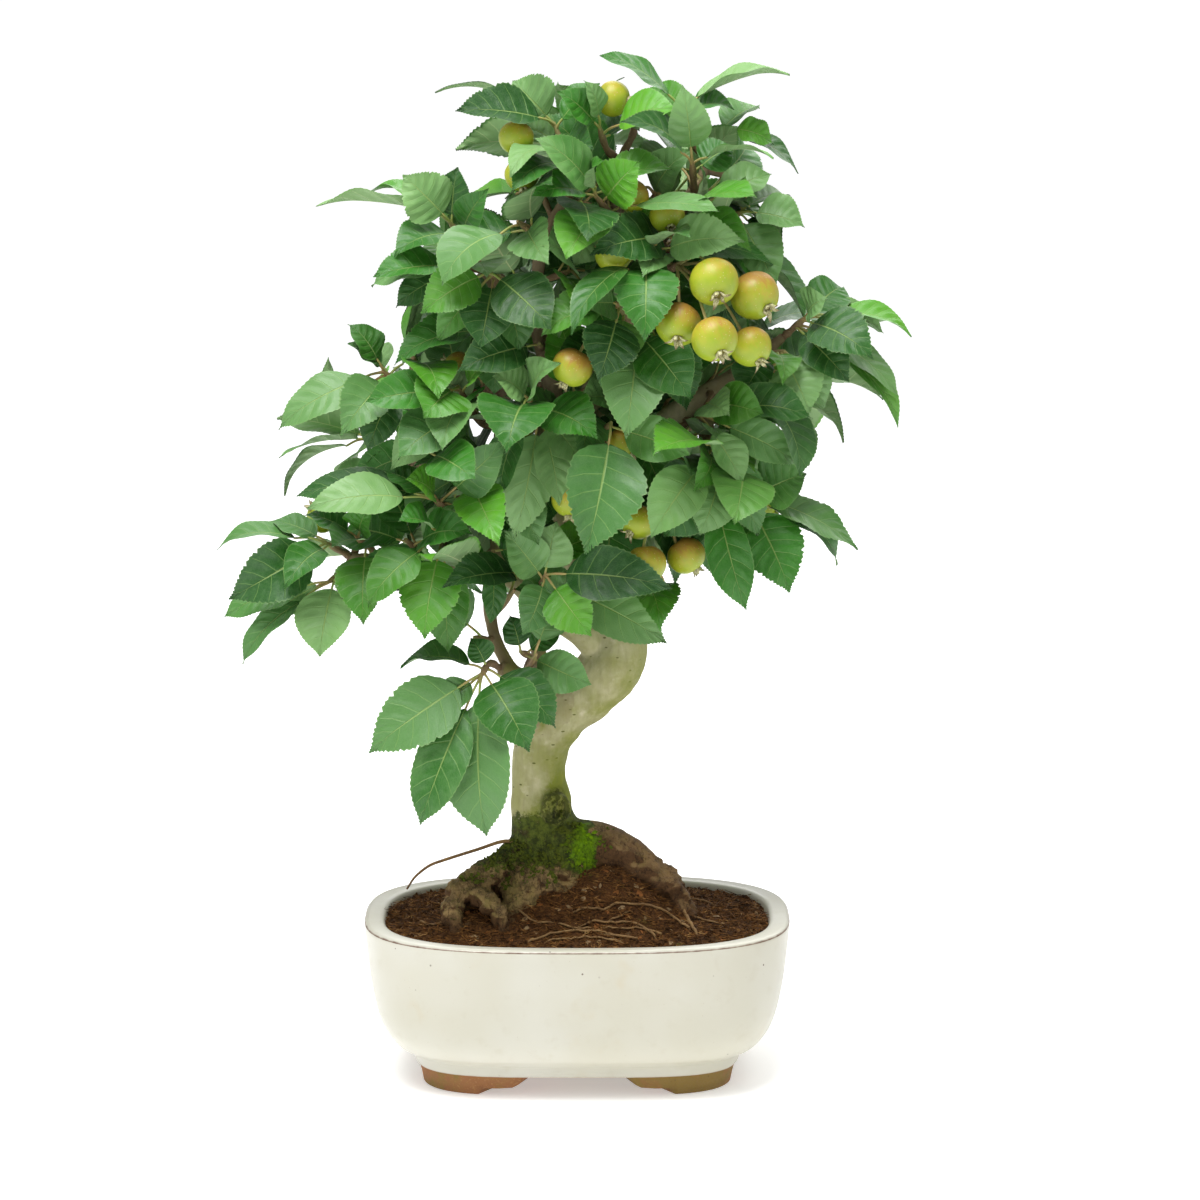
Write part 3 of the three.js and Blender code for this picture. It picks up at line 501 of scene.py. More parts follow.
# %% The feet
# Each foot follows the base round one corner: a block that stands on the ground in the
# middle, and a thin wing on either side that sweeps up to the body.
def under_side(along, knots):
    """Height of a foot's under side at that place along it."""
    return float(np.interp(along, [k[0] for k in knots], [k[1] for k in knots]))


WING_FRONT = [(26, 9.3), (27.5, 6.2), (30, 3.4), (33, 1.9), (40, 1.35), (47.5, 1.2),
              (48.8, 0.6), (49.8, -1.6), (50.6, -2), (200, -2)]
WING_SIDE = [(12, 9.3), (13.5, 6.2), (16, 3.4), (19, 1.9), (25, 1.35), (29.6, 1.2),
             (30.8, 0.6), (31.8, -1.6), (32.6, -2), (200, -2)]


FOOT_STEPS = 240  # round a quarter of the base


def foot(sx, sy):
    """One corner foot as a closed mesh."""
    rings = []
    for step in range(1, FOOT_STEPS):
        angle = math.pi / 2 * step / FOOT_STEPS
        outer = track(80, 8, angle)
        low = max(under_side(outer.x, WING_FRONT), under_side(outer.y, WING_SIDE))
        if low > 9.0:
            continue
        ring = []
        for long, height in [(64, 9.4), (64, low + 0.7), (64.7, low), (77.6, low),
                             (78.4, low + 0.25), (78.9, low + 1), (80.9, 9.4)]:
            place = track(long, height, angle)
            ring.append((sx * place.x, sy * place.y, height))
        rings.append(ring)
    corners = [at(place) for ring in rings for place in ring]
    faces = bar_faces(len(rings), len(rings[0]))
    if sx * sy < 0:
        faces = [face[::-1] for face in faces]
    return corners, faces


feet = []
for sx, sy in ((1, 1), (-1, 1), (-1, -1), (1, -1)):
    feet.append(new_mesh(f"foot_{sx}_{sy}", *foot(sx, sy), smooth=False))
print("foot corners:", len(feet[0].vertices))


# %% Join meshes into one
def joined(name, meshes):
    """One mesh from several, with their attributes, materials and shading kept."""
    holders = [placed(name, mesh) for mesh in meshes]
    with bpy.context.temp_override(
            active_object=holders[0], object=holders[0],
            selected_objects=holders, selected_editable_objects=holders):
        bpy.ops.object.join()
    mesh = holders[0].data
    bpy.data.objects.remove(holders[0])
    mesh.name = name
    return mesh


def outward(mesh):
    """Makes every closed shell of the mesh face outwards."""
    shell = bmesh.new()
    shell.from_mesh(mesh)
    bmesh.ops.recalc_face_normals(shell, faces=shell.faces)
    shell.to_mesh(mesh)
    shell.free()


def finished(holder):
    """The object's mesh with its modifiers applied, as plain data."""
    graph = bpy.context.evaluated_depsgraph_get()
    graph.update()
    return bpy.data.meshes.new_from_object(holder.evaluated_get(graph), depsgraph=graph)


# %% Two drain holes
DRAIN_X, DRAIN_RADIUS, DRAIN_SIDES = 36, 6.5, 32
holder = placed("pot_body", pot_mesh)
drills = []
for sx in (-1, 1):
    ring = [(sx * DRAIN_X + DRAIN_RADIUS * math.cos(a), DRAIN_RADIUS * math.sin(a))
            for a in np.arange(DRAIN_SIDES) * math.tau / DRAIN_SIDES]
    corners = [at((x, y, z)) for z in (2, 22) for x, y in ring]
    drill = placed("drill", new_mesh("drill", corners, bar_faces(2, DRAIN_SIDES), False))
    cut = holder.modifiers.new("drain", "BOOLEAN")
    cut.operation = "DIFFERENCE"
    cut.solver = "EXACT"
    cut.object = drill
    drills.append(drill)
drilled = finished(holder)
for spare in (holder, *drills):
    bpy.data.objects.remove(spare)
print("pot body:", len(drilled.polygons), "faces")

# %% [markdown]
# ## Glaze and bare clay
#
# The glaze is a thick cream coat on brown stoneware. Where it thins, on the outer edge
# of the lip, the clay shows through as a fine brown line that comes and goes. Iron
# specks break through here and there as pinholes, and the coat itself is slightly
# cloudy. All of this is painted by noise on the object's own coordinates, so it stays
# put from any side. The coat is satin rather than glassy, so lamps show in it only as
# broad soft lights. The feet are bare: matt, sandy, orange to brown, and stained by water.

# %% Cream glaze
glaze, graph, place = new_material("glaze")
height = parted(graph, place)[2]
slow = cloud(graph, place, 60, 2)
fine = cloud(graph, place, 9, 4, 0.6)
base = mixed(shade(slow, 0.35, 0.68), colour(202, 200, 187), colour(196, 193, 176))
base = mixed(shade(fine, 0.52, 0.8) * 0.35, base, colour(186, 180, 159))
# warm stains gather in faint blotches low on the wall
stain = shade(cloud(graph, place, 34, 3, 0.6), 0.6, 0.78) * 0.35
base = mixed(stain, base, colour(192, 172, 130))
# pinholes and iron specks of two sizes
speck_spot = cells(graph, place, 8.5)
speck_here = shade(cloud(graph, place, 17, 1), 0.46, 0.6)
specks = shade(speck_spot, 0.045, 0.075, 1, 0) * speck_here
pin_spot = cells(graph, place, 3.1)
pins = shade(pin_spot, 0.03, 0.07, 1, 0) * shade(cloud(graph, place, 11, 1), 0.47, 0.6)
base = mixed(pins * 0.6, base, colour(150, 128, 92))
base = mixed(specks * 0.85, base, colour(84, 62, 44))
# the clay shows along the lip's edges, and in places just inside them
edge = named(graph, "rim_edge")
broken = cloud(graph, place, 5, 4, 0.6)
thin = shade(edge + broken * 0.2, 0.66, 0.84)
base = mixed(thin, base, mixed(broken, colour(124, 88, 64), colour(82, 56, 42)))
# a thin shadow line where the glaze ends above the feet
skirt = shade(height, 0.0098, 0.0112, 1, 0) * shade(broken, 0.3, 0.6, 0.35, 1)
base = mixed(skirt * 0.7, base, colour(148, 112, 84))
wavy = cloud(graph, place, 14, 3, 0.5)
relief = wavy * 0.7 + fine * 0.2 - specks * 0.4 - pins * 0.3
finish_material(
    graph, base, shade(fine, 0.3, 0.8, 0.3, 0.38) + thin * 0.25, relief, 0.08,
    {"Coat Weight": 0.1, "Coat Roughness": 0.15, "Specular IOR Level": 0.5})

# %% Bare clay
clay, graph, place = new_material("bare_clay")
grit = cloud(graph, place, 1.1, 4, 0.65)
tone = cloud(graph, place, 13, 4, 0.6)
base = mixed(tone, colour(122, 78, 42), colour(170, 118, 72))
base = mixed(shade(grit, 0.5, 0.75) * 0.5, base, colour(190, 146, 96))
damp = shade(cloud(graph, place, 26, 4, 0.65), 0.42, 0.58)
base = mixed(damp * 0.8, base, colour(124, 106, 46))
sooty = shade(cells(graph, place, 2.6), 0.08, 0.2, 1, 0) * shade(tone, 0.5, 0.7)
base = mixed(sooty * 0.6, base, colour(52, 40, 30))
finish_material(graph, base, shade(grit, 0.3, 0.7, 0.72, 0.92), grit + tone * 0.5, 0.35)

# %% The finished pot
SHARP_FROM = 38  # degrees between two faces that meet in a crisp edge
BARE_BELOW = 8.25

for mesh in feet:
    mesh.materials.append(clay)
drilled.materials.append(glaze)
pot = joined("pot_glazed", [drilled, *feet])
outward(pot)
pot.set_sharp_from_angle(angle=math.radians(SHARP_FROM))
# underneath, the base is left bare too
slots = {material.name: index for index, material in enumerate(pot.materials)}
bare_below = ORIGIN.z + BARE_BELOW * MM
for face in pot.polygons:
    if max(pot.vertices[v].co.z for v in face.vertices) < bare_below:
        face.material_index = slots["bare_clay"]
add_piece("pot_glazed", pot, ["pot"])


# %% [markdown]
# ## Soil
#
# The pot is filled with a dark fibrous mix, heaped towards the trunk. Its surface is one
# closed body: rings of the pot's own outline, rising along the mound, with a fine noise
# that turns the skin into clods. Crumbs and fibres are then strewn over it by Geometry
# Nodes, since they are many, small and random.

# %% The body of the soil
SOIL_AROUND = 250
LOOSE_ABOVE = 71  # the skin is lumpy from this height up, inside the wall


def mound(long):
    """Height of the smooth soil at that half length from the pot's middle."""
    return float(np.interp(long, [0, 20, 52, 75, 90, 96.5], [86.6, 85.4, 80.8, 77.0, 74.4, 73.6]))


# soil is packed up between the roots: middle x and y, reach both ways, and height
PACKED = [(12, -16, 26, 20, 18), (-20, -28, 18, 16, 8), (28, -26, 22, 16, 6),
          (-50, -32, 17, 15, 7)]


def packed(x, y):
    """How far the packed soil stands over the mound at that place."""
    return sum(rise * math.exp(-((x - cx) / rx) ** 2 - ((y - cy) / ry) ** 2)
               for cx, cy, rx, ry, rise in PACKED)


def clods(place):
    """How far the lumpy skin stands over the smooth mound, in millimetres."""
    coarse = noise.fractal(Vector(place) / 11, 0.9, 2.1, 3)
    small = noise.fractal(Vector(place) / 3.2 + Vector((9, 4, 1)), 0.8, 2.2, 2)
    ridged = abs(noise.noise(Vector(place) / 5.5 + Vector((3, 8, 5))))
    return 0.9 * coarse + 0.75 * small + 1.6 * (0.5 - ridged) * 0.8


soil_profile = [(0, 16), (70, 16), (84, 22), (92.3, 42), (96.2, 66), (96.5, 73.0)]
soil_profile += [(long, mound(long)) for long in np.linspace(96, 2, 66)] + [(0, mound(0))]
corners, faces, _ = turned(soil_profile, SOIL_AROUND)
settled = []
for corner in corners:
    local = (Vector(corner) - ORIGIN) / MM
    if local.z > LOOSE_ABOVE:
        near_wall = min(1, (local.z - LOOSE_ABOVE) / 2)
        local.z += (clods(local) + packed(local.x, local.y)) * near_wall
    settled.append(at(local))
soil_body = new_mesh("soil_body", settled, faces)
print("soil skin:", len(soil_body.polygons), "faces")

# %% Moist peat
peat, graph, place = new_material("peat")
clump = cloud(graph, place, 7, 5, 0.65)
grain = cloud(graph, place, 1.3, 3, 0.6)
base = mixed(clump, colour(30, 18, 9), colour(88, 57, 30))
base = mixed(shade(grain, 0.45, 0.7) * 0.6, base, colour(112, 74, 39))
fleck_cells = graph.node(
    "ShaderNodeTexVoronoi", inputs={"Vector": place, "Scale": 420.0}, output="Color")
fleck = graph.node("ShaderNodeSeparateColor", inputs={0: fleck_cells})
base = mixed(shade(fleck, 0.975, 0.985) * 0.6, base, colour(156, 100, 54))
base = mixed(shade(fleck, 0.035, 0.02) * 0.55, base, colour(176, 150, 112))
green = shade(cloud(graph, place, 19, 4, 0.7), 0.6, 0.72) * shade(grain, 0.4, 0.6)
base = mixed(green * 0.6, base, colour(74, 84, 34))
finish_material(graph, base, shade(grain, 0.3, 0.7, 0.8, 0.98), clump + grain * 0.8, 0.9,
                {"Specular IOR Level": 0.12})
soil_body.materials.append(peat)

# %% Dry root fibre
fibrous, graph, place = new_material("root_fibre")
each = cloud(graph, place, 4.5, 2, 0.6)
base = mixed(shade(each, 0.3, 0.7), colour(46, 28, 13), colour(138, 95, 50))
base = mixed(shade(each, 0.6, 0.72) * 0.8, base, colour(190, 152, 98))
finish_material(graph, base, shade(each, 0.3, 0.7, 0.7, 0.9), each, 0.1,
                {"Specular IOR Level": 0.12})

# %% [markdown]
# ## Crumbs and fibres by Geometry Nodes
#
# A tree of nodes takes a surface, scatters points over it, sets a small lump or a bent
# fibre on each, turns and scales them at random from a fixed seed, and makes the result
# real. Its sizes are named inputs, so the same tree strews coarse crumbs, fine ones and
# fibres. Only faces that look up receive any.


# %% A Geometry Nodes tree with named inputs
KINDS = {"float": "NodeSocketFloat", "int": "NodeSocketInt", "object": "NodeSocketObject",
         "material": "NodeSocketMaterial", "collection": "NodeSocketCollection"}


def new_tree(name, **sockets):
    """An empty tree with a geometry input and output and the named inputs given."""
    tree = bpy.data.node_groups.new(name, "GeometryNodeTree")
    tree.interface.new_socket("Geometry", in_out="INPUT", socket_type="NodeSocketGeometry")
    tree.interface.new_socket("Geometry", in_out="OUTPUT", socket_type="NodeSocketGeometry")
    for label, kind in sockets.items():
        tree.interface.new_socket(
            label.replace("_", " ").capitalize(), in_out="INPUT", socket_type=KINDS[kind])
    graph = Graph(tree)
    entry = graph.node("NodeGroupInput", output=None)
    return graph, {socket.name.lower().replace(" ", "_"): Value(graph, socket)
                   for socket in entry.outputs if socket.name}


def close_tree(graph, geometry):
    """Ends a tree with this geometry and returns the tree."""
    graph.node("NodeGroupOutput", inputs={0: geometry}, output=None)
    return graph.tree


def grown(name, mesh, tree, **inputs):
    """Runs a tree on a mesh and returns the result as a plain mesh."""
    holder = placed(name, mesh)
    modifier = holder.modifiers.new(name, "NODES")
    modifier.node_group = tree
    for item in tree.interface.items_tree:
        key = item.name.lower().replace(" ", "_")
        if item.in_out == "INPUT" and key in inputs:
            modifier[item.identifier] = inputs[key]
    result = finished(holder)
    holder.modifiers.remove(modifier)
    bpy.data.objects.remove(holder)
    result.name = name
    return result


# %% Parts that several trees share
def read(name, kind="FLOAT"):
    """In the newest tree: what the mesh carries under a name."""
    return graph.node("GeometryNodeInputNamedAttribute", {"data_type": kind}, {0: name})


def exceeds(value, limit):
    """Whether a number of a tree is greater than the limit."""
    return value.graph.node(
        "FunctionNodeCompare", {"data_type": "FLOAT", "operation": "GREATER_THAN"},
        {0: value, 1: limit})


def as_bars(graph, lines, sides, radius):
    """Loose lines turned into closed bars with that radius at each point."""
    curve = graph.node("GeometryNodeMeshToCurve", inputs={"Mesh": lines})
    ring = graph.node("GeometryNodeCurvePrimitiveCircle", {"mode": "RADIUS"}, {
        "Resolution": sides, "Radius": 1.0})
    return graph.node("GeometryNodeCurveToMesh", inputs={
        "Curve": curve, "Profile Curve": ring, "Scale": radius, "Fill Caps": True})


def stalks_and_copies(graph, given, split, copies, is_copy, copy_look):
    """Joins the copies to bars made of the other lines, and ends the tree with both."""
    stalks = as_bars(graph, Value(graph, split.outputs["Inverted"]), given["stalk_sides"],
                     read("radius"))
    whole = graph.node("GeometryNodeJoinGeometry", output=None)
    for part in (stalks, copies):
        graph.tree.links.new(part.socket, whole.inputs[0])
    whole = graph.node("GeometryNodeRealizeInstances", inputs={
        "Geometry": Value(graph, whole.outputs[0])})
    whole = graph.node("GeometryNodeSetShadeSmooth", inputs={"Geometry": whole})
    is_stalk = graph.node("FunctionNodeBooleanMath", {"operation": "NOT"}, {0: is_copy})
    for chosen, look in ((is_copy, copy_look), (is_stalk, given["stalk_material"])):
        whole = graph.node("GeometryNodeSetMaterial", inputs={
            "Geometry": whole, "Selection": chosen, "Material": look})
    return close_tree(graph, whole)


# %% The strewing tree
graph, given = new_tree("strew", bit="object", density="float", smallest="float",
                        largest="float", tilt="float", lift="float", seed="int",
                        bit_material="material")
normal = graph.node("GeometryNodeInputNormal")
facing_up = exceeds(parted(graph, normal)[2], 0.25)
points = graph.node("GeometryNodeDistributePointsOnFaces", {"distribute_method": "RANDOM"}, {
    "Mesh": given["geometry"], "Selection": facing_up, "Density": given["density"],
    "Seed": given["seed"]}, output=None)
scattered = Value(graph, points.outputs["Points"])
surface_normal = Arrow(graph, points.outputs["Normal"])
scattered = graph.node("GeometryNodeSetPosition", inputs={
    "Geometry": scattered, "Offset": surface_normal * given["lift"]})
tilt = given["tilt"]
spin = graph.node("FunctionNodeRandomValue", {"data_type": "FLOAT_VECTOR"}, {
    0: graph.node("ShaderNodeCombineXYZ", inputs={0: tilt * -1.0, 1: tilt * -1.0, 2: 0.0}),
    1: graph.node("ShaderNodeCombineXYZ", inputs={0: tilt, 1: tilt, 2: math.tau}),
    "Seed": given["seed"]})
turn = graph.node("FunctionNodeEulerToRotation", inputs={0: spin})
size = graph.node("FunctionNodeRandomValue", {"data_type": "FLOAT"}, {
    2: given["smallest"], 3: given["largest"], "Seed": given["seed"]}, output=1)
bits = graph.node("GeometryNodeObjectInfo", inputs={"Object": given["bit"]}, output="Geometry")
strewn = graph.node("GeometryNodeInstanceOnPoints", inputs={
    "Points": scattered, "Instance": bits, "Rotation": turn, "Scale": size})
strewn = graph.node("GeometryNodeRealizeInstances", inputs={"Geometry": strewn})
strewn = graph.node("GeometryNodeSetMaterial", inputs={
    "Geometry": strewn, "Material": given["bit_material"]})
strew = close_tree(graph, strewn)


# %% A crumb and a fibre, one unit across
def lump(name, rough, seed):
    """An uneven ball of 20 faces."""
    ball = bmesh.new()
    bmesh.ops.create_icosphere(ball, subdivisions=1, radius=0.5)
    for vert in ball.verts:
        vert.co *= 1 + rough * noise.noise(vert.co * 2.3 + Vector((seed, 0, 0)))
    mesh = bpy.data.meshes.new(name)
    ball.to_mesh(mesh)
    ball.free()
    return mesh


def tube(name, line, radii, sides):
    """A closed bar through the points of a line."""
    line = [Vector(p) for p in line]
    corners = []
    side = Vector((0.3, 1, 0.2))
    for i, place in enumerate(line):
        tangent = (line[min(i + 1, len(line) - 1)] - line[max(i - 1, 0)]).normalized()
        side = (side - tangent * side.dot(tangent)).normalized()
        other = tangent.cross(side)
        for k in range(sides):
            angle = math.tau * k / sides
            out = side * math.cos(angle) + other * math.sin(angle)
            corners.append(place + out * radii[i])
    return new_mesh(name, corners, bar_faces(len(line), sides))


crumb = bpy.data.objects.new("crumb", lump("crumb", 0.9, 3))
fibre = bpy.data.objects.new("fibre", tube(
    "fibre", [(-0.5, -0.06, 0), (0.02, 0.1, 0.03), (0.5, -0.07, 0.02)], [0.01, 0.019, 0.007], 3))

# %% Strew the soil
ground = BVHTree.FromPolygons([v.co for v in soil_body.vertices],
                              [p.vertices for p in soil_body.polygons])
soil_layers = [soil_body]
for name, bit, density, smallest, largest, tilt, seed, look in (
        ("coarse_crumbs", crumb, 26e3, 1.6, 3.4, 3.0, 1, peat),
        ("fine_crumbs", crumb, 44e3, 0.7, 1.6, 3.0, 2, peat),
        ("fibres", fibre, 235e3, 4, 15, 0.34, 3, fibrous)):
    layer = grown(name, soil_body, strew, bit=bit, density=float(density),
                  smallest=smallest * MM, largest=largest * MM, tilt=float(tilt),
                  lift=0.15 * MM, seed=seed, bit_material=look)
    print(name, len(layer.polygons), "faces")
    soil_layers.append(layer)
add_piece("soil_heaped", joined("soil_heaped", soil_layers), ["soil"])

# %% [markdown]
# ## Drain meshes
#
# Two small plastic grids lie over the drain holes and keep the soil in. Their solids
# already have the right form, so they only need the look of moulded black plastic.

# %% Black plastic
plastic, graph, place = new_material("mesh_plastic")
dust = cloud(graph, place, 6, 4, 0.6)
base = mixed(shade(dust, 0.45, 0.75), colour(30, 32, 34), colour(74, 64, 50))
finish_material(graph, base, shade(dust, 0.3, 0.7, 0.45, 0.7), cloud(graph, place, 0.8), 0.08)
for name in ("drain_mesh_left", "drain_mesh_right"):
    solid = frame["nodes"][name]
    solid.data.materials.clear()
    solid.data.materials.append(plastic)


# %% [markdown]
# ## The woody plant
#
# Trunk, roots and branches are limbs that follow paths and taper, so a small tree of
# nodes turns lines with a radius at each point into closed bars. The lines are the very
# ones that the solid is built on. A voxel remesh then melts the bars into one skin, as
# wood grows over its forks, and each point of the skin is moved a little: long swellings
# on the trunk, deep folds on the old roots, and rings of buds on the twigs.

# %% The lines of the limbs, thick end first, as x, y, z and radius
TRUNK = [
    (-8, 0, 58, 27), (-8, 0, 78, 28), (-10, 0, 98, 24), (-15, 0, 116, 18.4),
    (-18, -1, 134, 15.2), (-19, -2, 158, 14), (-10, -4, 180, 15), (5, -6, 194, 16),
    (18, -6, 208, 16), (20, -3, 224, 14.6), (13, 2, 242, 12.6), (3, 5, 262, 11.6),
    (-2, 6, 286, 10.6), (1, 4, 311, 9.6), (8, 1, 336, 8.6), (17, -2, 362, 7.6),
    (27, -4, 387, 6.6), (31, -6, 414, 5.4), (27, -8, 439, 4.4), (21, -12, 459, 3.4),
]

ROOTS = [
    [(-14, -2, 116, 13), (-35, -7, 100, 12.5), (-49, -12, 90, 10.5), (-57, -20, 82, 7.5),
     (-62, -28, 73, 4.5)],
    [(-12, -6, 108, 12), (-25, -20, 93, 11), (-33, -32, 83, 7), (-38, -42, 73, 4)],
    [(-4, -1, 114, 13), (18, -4, 110, 12), (33, -7, 101, 10), (45, -10, 91, 8.5),
     (54, -15, 81, 6), (60, -19, 72, 4)],
    [(-10, 6, 110, 12), (-15, 22, 94, 9), (-21, 36, 84, 6), (-25, 48, 73, 3.5)],
    [(-2, 6, 110, 11), (16, 20, 95, 8), (29, 31, 85, 5), (38, 40, 74, 3)],
]

THREADS = [
    [(-26, -8, 108, 2.4), (-52, -6, 106, 1.7), (-70, 6, 98, 1.5), (-88, 20, 87, 1.1)],
    [(30, -10, 94, 2.6), (46, -26, 82.5, 1.8), (56, -40, 79.8, 1.4)],
    [(16, -10, 100, 2.6), (24, -34, 82.8, 1.8), (42, -50, 79.2, 1.3)],
    [(-14, -22, 92, 2.6), (4, -44, 80.8, 1.6), (30, -56, 78.4, 1.2)],
]

BRANCHES = {
    "low": [
        (-11, -8, 186, 6), (-18, -18, 195, 5.2), (-28, -26, 205, 4), (-38, -33, 210, 3.2),
    ],
    "low_stem": [
        (-31, -28, 206, 3.6), (-38, -24, 217, 3.3), (-43, -20, 234, 3.2), (-44, -18, 250, 3),
    ],
    "inner_stem": [
        (-13, -8, 190, 5), (-18, -14, 204, 4), (-20, -14, 220, 3.7), (-22, -20, 238, 3.2),
    ],
    "left": [
        (12, -6, 213, 8), (3, -14, 223, 6.8), (-12, -18, 234, 6.2), (-27, -17, 247, 5.8),
        (-37, -15, 262, 5.4), (-38, -14, 282, 4.9), (-38, -16, 306, 4.5), (-37, -18, 331, 4),
        (-35, -18, 359, 3.5), (-36, -18, 381, 3), (-42, -16, 400, 2.6), (-52, -16, 413, 2.2),
    ],
    "low_left": [
        (-35, -15, 265, 4.8), (-48, -20, 261, 4.2), (-64, -24, 262, 3.6), (-85, -22, 262, 3.2),
        (-102, -20, 262, 2.8), (-112, -18, 263, 2.4),
    ],
    "mid_left": [
        (-38, -16, 304, 4), (-53, -20, 316, 3.4), (-66, -22, 323, 3), (-75, -18, 336, 2.7),
        (-83, -14, 346, 2.4),
    ],
    "inner_left": [
        (1, 2, 309, 6), (-9, -8, 337, 4.6), (-17, -16, 366, 4), (-20, -20, 396, 3.4),
        (-15, -22, 423, 3), (-3, -24, 444, 2.6),
    ],
    "right": [
        (-1, 4, 299, 8), (17, 2, 308, 6.8), (36, -4, 320, 6.4), (50, -10, 334, 6),
        (64, -12, 343, 5), (79, -10, 353, 4.2), (91, -8, 363, 3.4), (102, -6, 371, 2.6),
    ],
    "right_low": [
        (61, -12, 341, 4.8), (64, -14, 323, 4.2), (66, -14, 303, 3.8), (72, -14, 292, 3.4),
    ],
    "upper_right": [
        (31, -6, 408, 4.6), (43, -12, 423, 3.6), (53, -20, 437, 3), (57, -24, 445, 2.6),
    ],
    "top_right": [
        (47, -14, 428, 3), (60, -8, 449, 2.6), (64, -4, 457, 2.2),
    ],
    "shoulder": [
        (31, -5, 402, 4), (51, -6, 416, 3), (68, -10, 428, 2.6),
    ],
    "back_low": [
        (14, 0, 236, 7), (24, 20, 252, 5.2), (32, 38, 268, 4), (36, 54, 284, 3),
    ],
    "back_left": [
        (-37, -14, 283, 5), (-52, 6, 292, 4), (-72, 22, 300, 3.2), (-92, 34, 308, 2.6),
    ],
    "back_mid": [
        (0, 5, 300, 7), (-14, 24, 318, 5), (-28, 42, 338, 4), (-38, 54, 358, 3),
    ],
    "back_right": [
        (36, -4, 320, 5.4), (52, 16, 328, 4.4), (70, 32, 336, 3.4), (88, 42, 342, 2.6),
    ],
    "back_high": [
        (17, -2, 362, 6), (24, 18, 380, 4.6), (34, 36, 398, 3.6), (40, 46, 414, 2.8),
    ],
    "back_top": [
        (31, -6, 414, 4.2), (22, 12, 430, 3.4), (8, 26, 446, 2.6),
    ],
}

KNOTS = [
    [(-14, -2, 134, 8), (-11, -17, 135, 7.4), (-10.4, -18.6, 135, 5)],
    [(-16, -4, 172, 7), (-22, -17, 180, 6), (-23, -19, 181, 4.4)],
    [(18, 0, 222, 8), (6, -13, 231, 6.4), (5, -16.5, 232, 4.6)],
]

# gnarled loops where old roots grew round each other
KNUCKLES = [
    [(-38, -14, 105, 8), (-52, -22, 99, 7), (-60, -31, 91, 6), (-61, -38, 82, 4.8),
     (-58, -41, 74, 4)],
    [(-50, -24, 95, 5), (-46, -36, 92, 4.8), (-39, -42, 86, 4.4), (-37, -44, 76, 4)],
]

# fine roots that lie on the soil: thickness, then x and y along each
ROOTLETS = [
    (0.62, [(-3, -36), (4, -35.4), (12, -37.2), (19, -35.3), (28, -34.3), (34, -32.8),
            (41, -31.4), (47, -31.4), (53, -35.3), (57, -41)]),
    (0.6, [(-1, -44.7), (9, -42.7), (19, -43.6), (26, -42.7), (32, -44.3), (37, -48.4),
           (40, -53)]),
    (0.62, [(-27, -59.1), (-20, -54.7), (-13, -50.6), (-4, -48.5), (7, -48.5),
            (16, -50.4), (27, -52.3)]),
    (0.5, [(-18, -58.3), (-10, -54.7), (-1, -53.8), (7, -53.1), (16, -55.4), (25, -57.2)]),
    (0.45, [(14, -42.5), (20, -41.1), (25, -38.4), (28, -36)]),
    (0.9, [(45, -18), (49, -17), (53, -20), (55, -26.8), (58, -38.9), (60, -44.4)]),
    (0.45, [(10, -45.2), (20, -46.4), (31, -46.1), (36, -46.5)]),
    (0.5, [(-10, -41.6), (-6, -44.7), (2, -46.6), (10, -45.8)]),
    (0.55, [(-32, -30), (-28, -36.5), (-19, -43.2), (-10, -41.6)]),
    (0.5, [(56, -18), (62, -24), (70, -26), (77, -24)]),
    (0.55, [(-60, -34), (-68, -32), (-76, -24), (-80, -12)]),
    (0.55, [(44, 14), (54, 16), (64, 13), (74, 14)]),
    (0.5, [(-18, 50), (-8, 53), (4, 50), (14, 54), (22, 50)]),
    (0.55, [(20, 44), (32, 42), (42, 46), (52, 38)]),
    (0.5, [(-52, 12), (-60, 20), (-64, 30), (-74, 28)]),
]
AIR_ROOT = [(-26, -8, 113, 1.4), (-35.8, -8, 116.5, 1.0), (-51, -4, 111, 0.85),
            (-67.3, 0, 104.8, 0.8), (-75.2, 6, 100.3, 0.75), (-82.6, 14, 92.6, 0.65),
            (-87, 20, 85, 0.5)]
ROOTLET_CLEAR = 1.0  # how far their middles stand over the soil
RAY_FROM = 150  # a height well above the soil


def draped(points, radius):
    """A line over the soil's skin through the given x and y; its ends dive in."""
    line = smooth_line([(x, y, 0) for x, y in points], 5)
    laid = []
    for index, (x, y, _) in enumerate(line):
        hit = ground.ray_cast(at((x, y, RAY_FROM)), Vector((0, 0, -1)))[0]
        ends = min(index, len(line) - 1 - index) / 3
        rise = ROOTLET_CLEAR if ends >= 1 else ROOTLET_CLEAR * ends - 0.8 * (1 - ends)
        laid.append((x, y, (hit.z - ORIGIN.z) / MM + rise, radius * min(1, 0.5 + ends / 2)))
    return np.array(laid)


print("limbs:", 1 + len(ROOTS) + len(BRANCHES) + len(KNOTS), "rootlets:", len(ROOTLETS))

# %% The tree of nodes that gives a line its thickness
graph, given = new_tree("bars", sides="int", swell="float")
bar = as_bars(graph, given["geometry"], given["sides"], read("radius") * given["swell"])
bar = graph.node("GeometryNodeRealizeInstances", inputs={"Geometry": bar})
bars = close_tree(graph, bar)


def lines_mesh(name, lines):
    """Loose lines as one mesh; each point carries its radius in metres."""
    corners, edges, radii = [], [], []
    for points in lines:
        start = len(corners)
        corners += [at(point) for point in points]
        radii += [point[3] * MM for point in points]
        edges += [(i, i + 1) for i in range(start, len(corners) - 1)]
    mesh = lines_from(name, corners, edges)
    carry(mesh, "radius", radii)
    return mesh


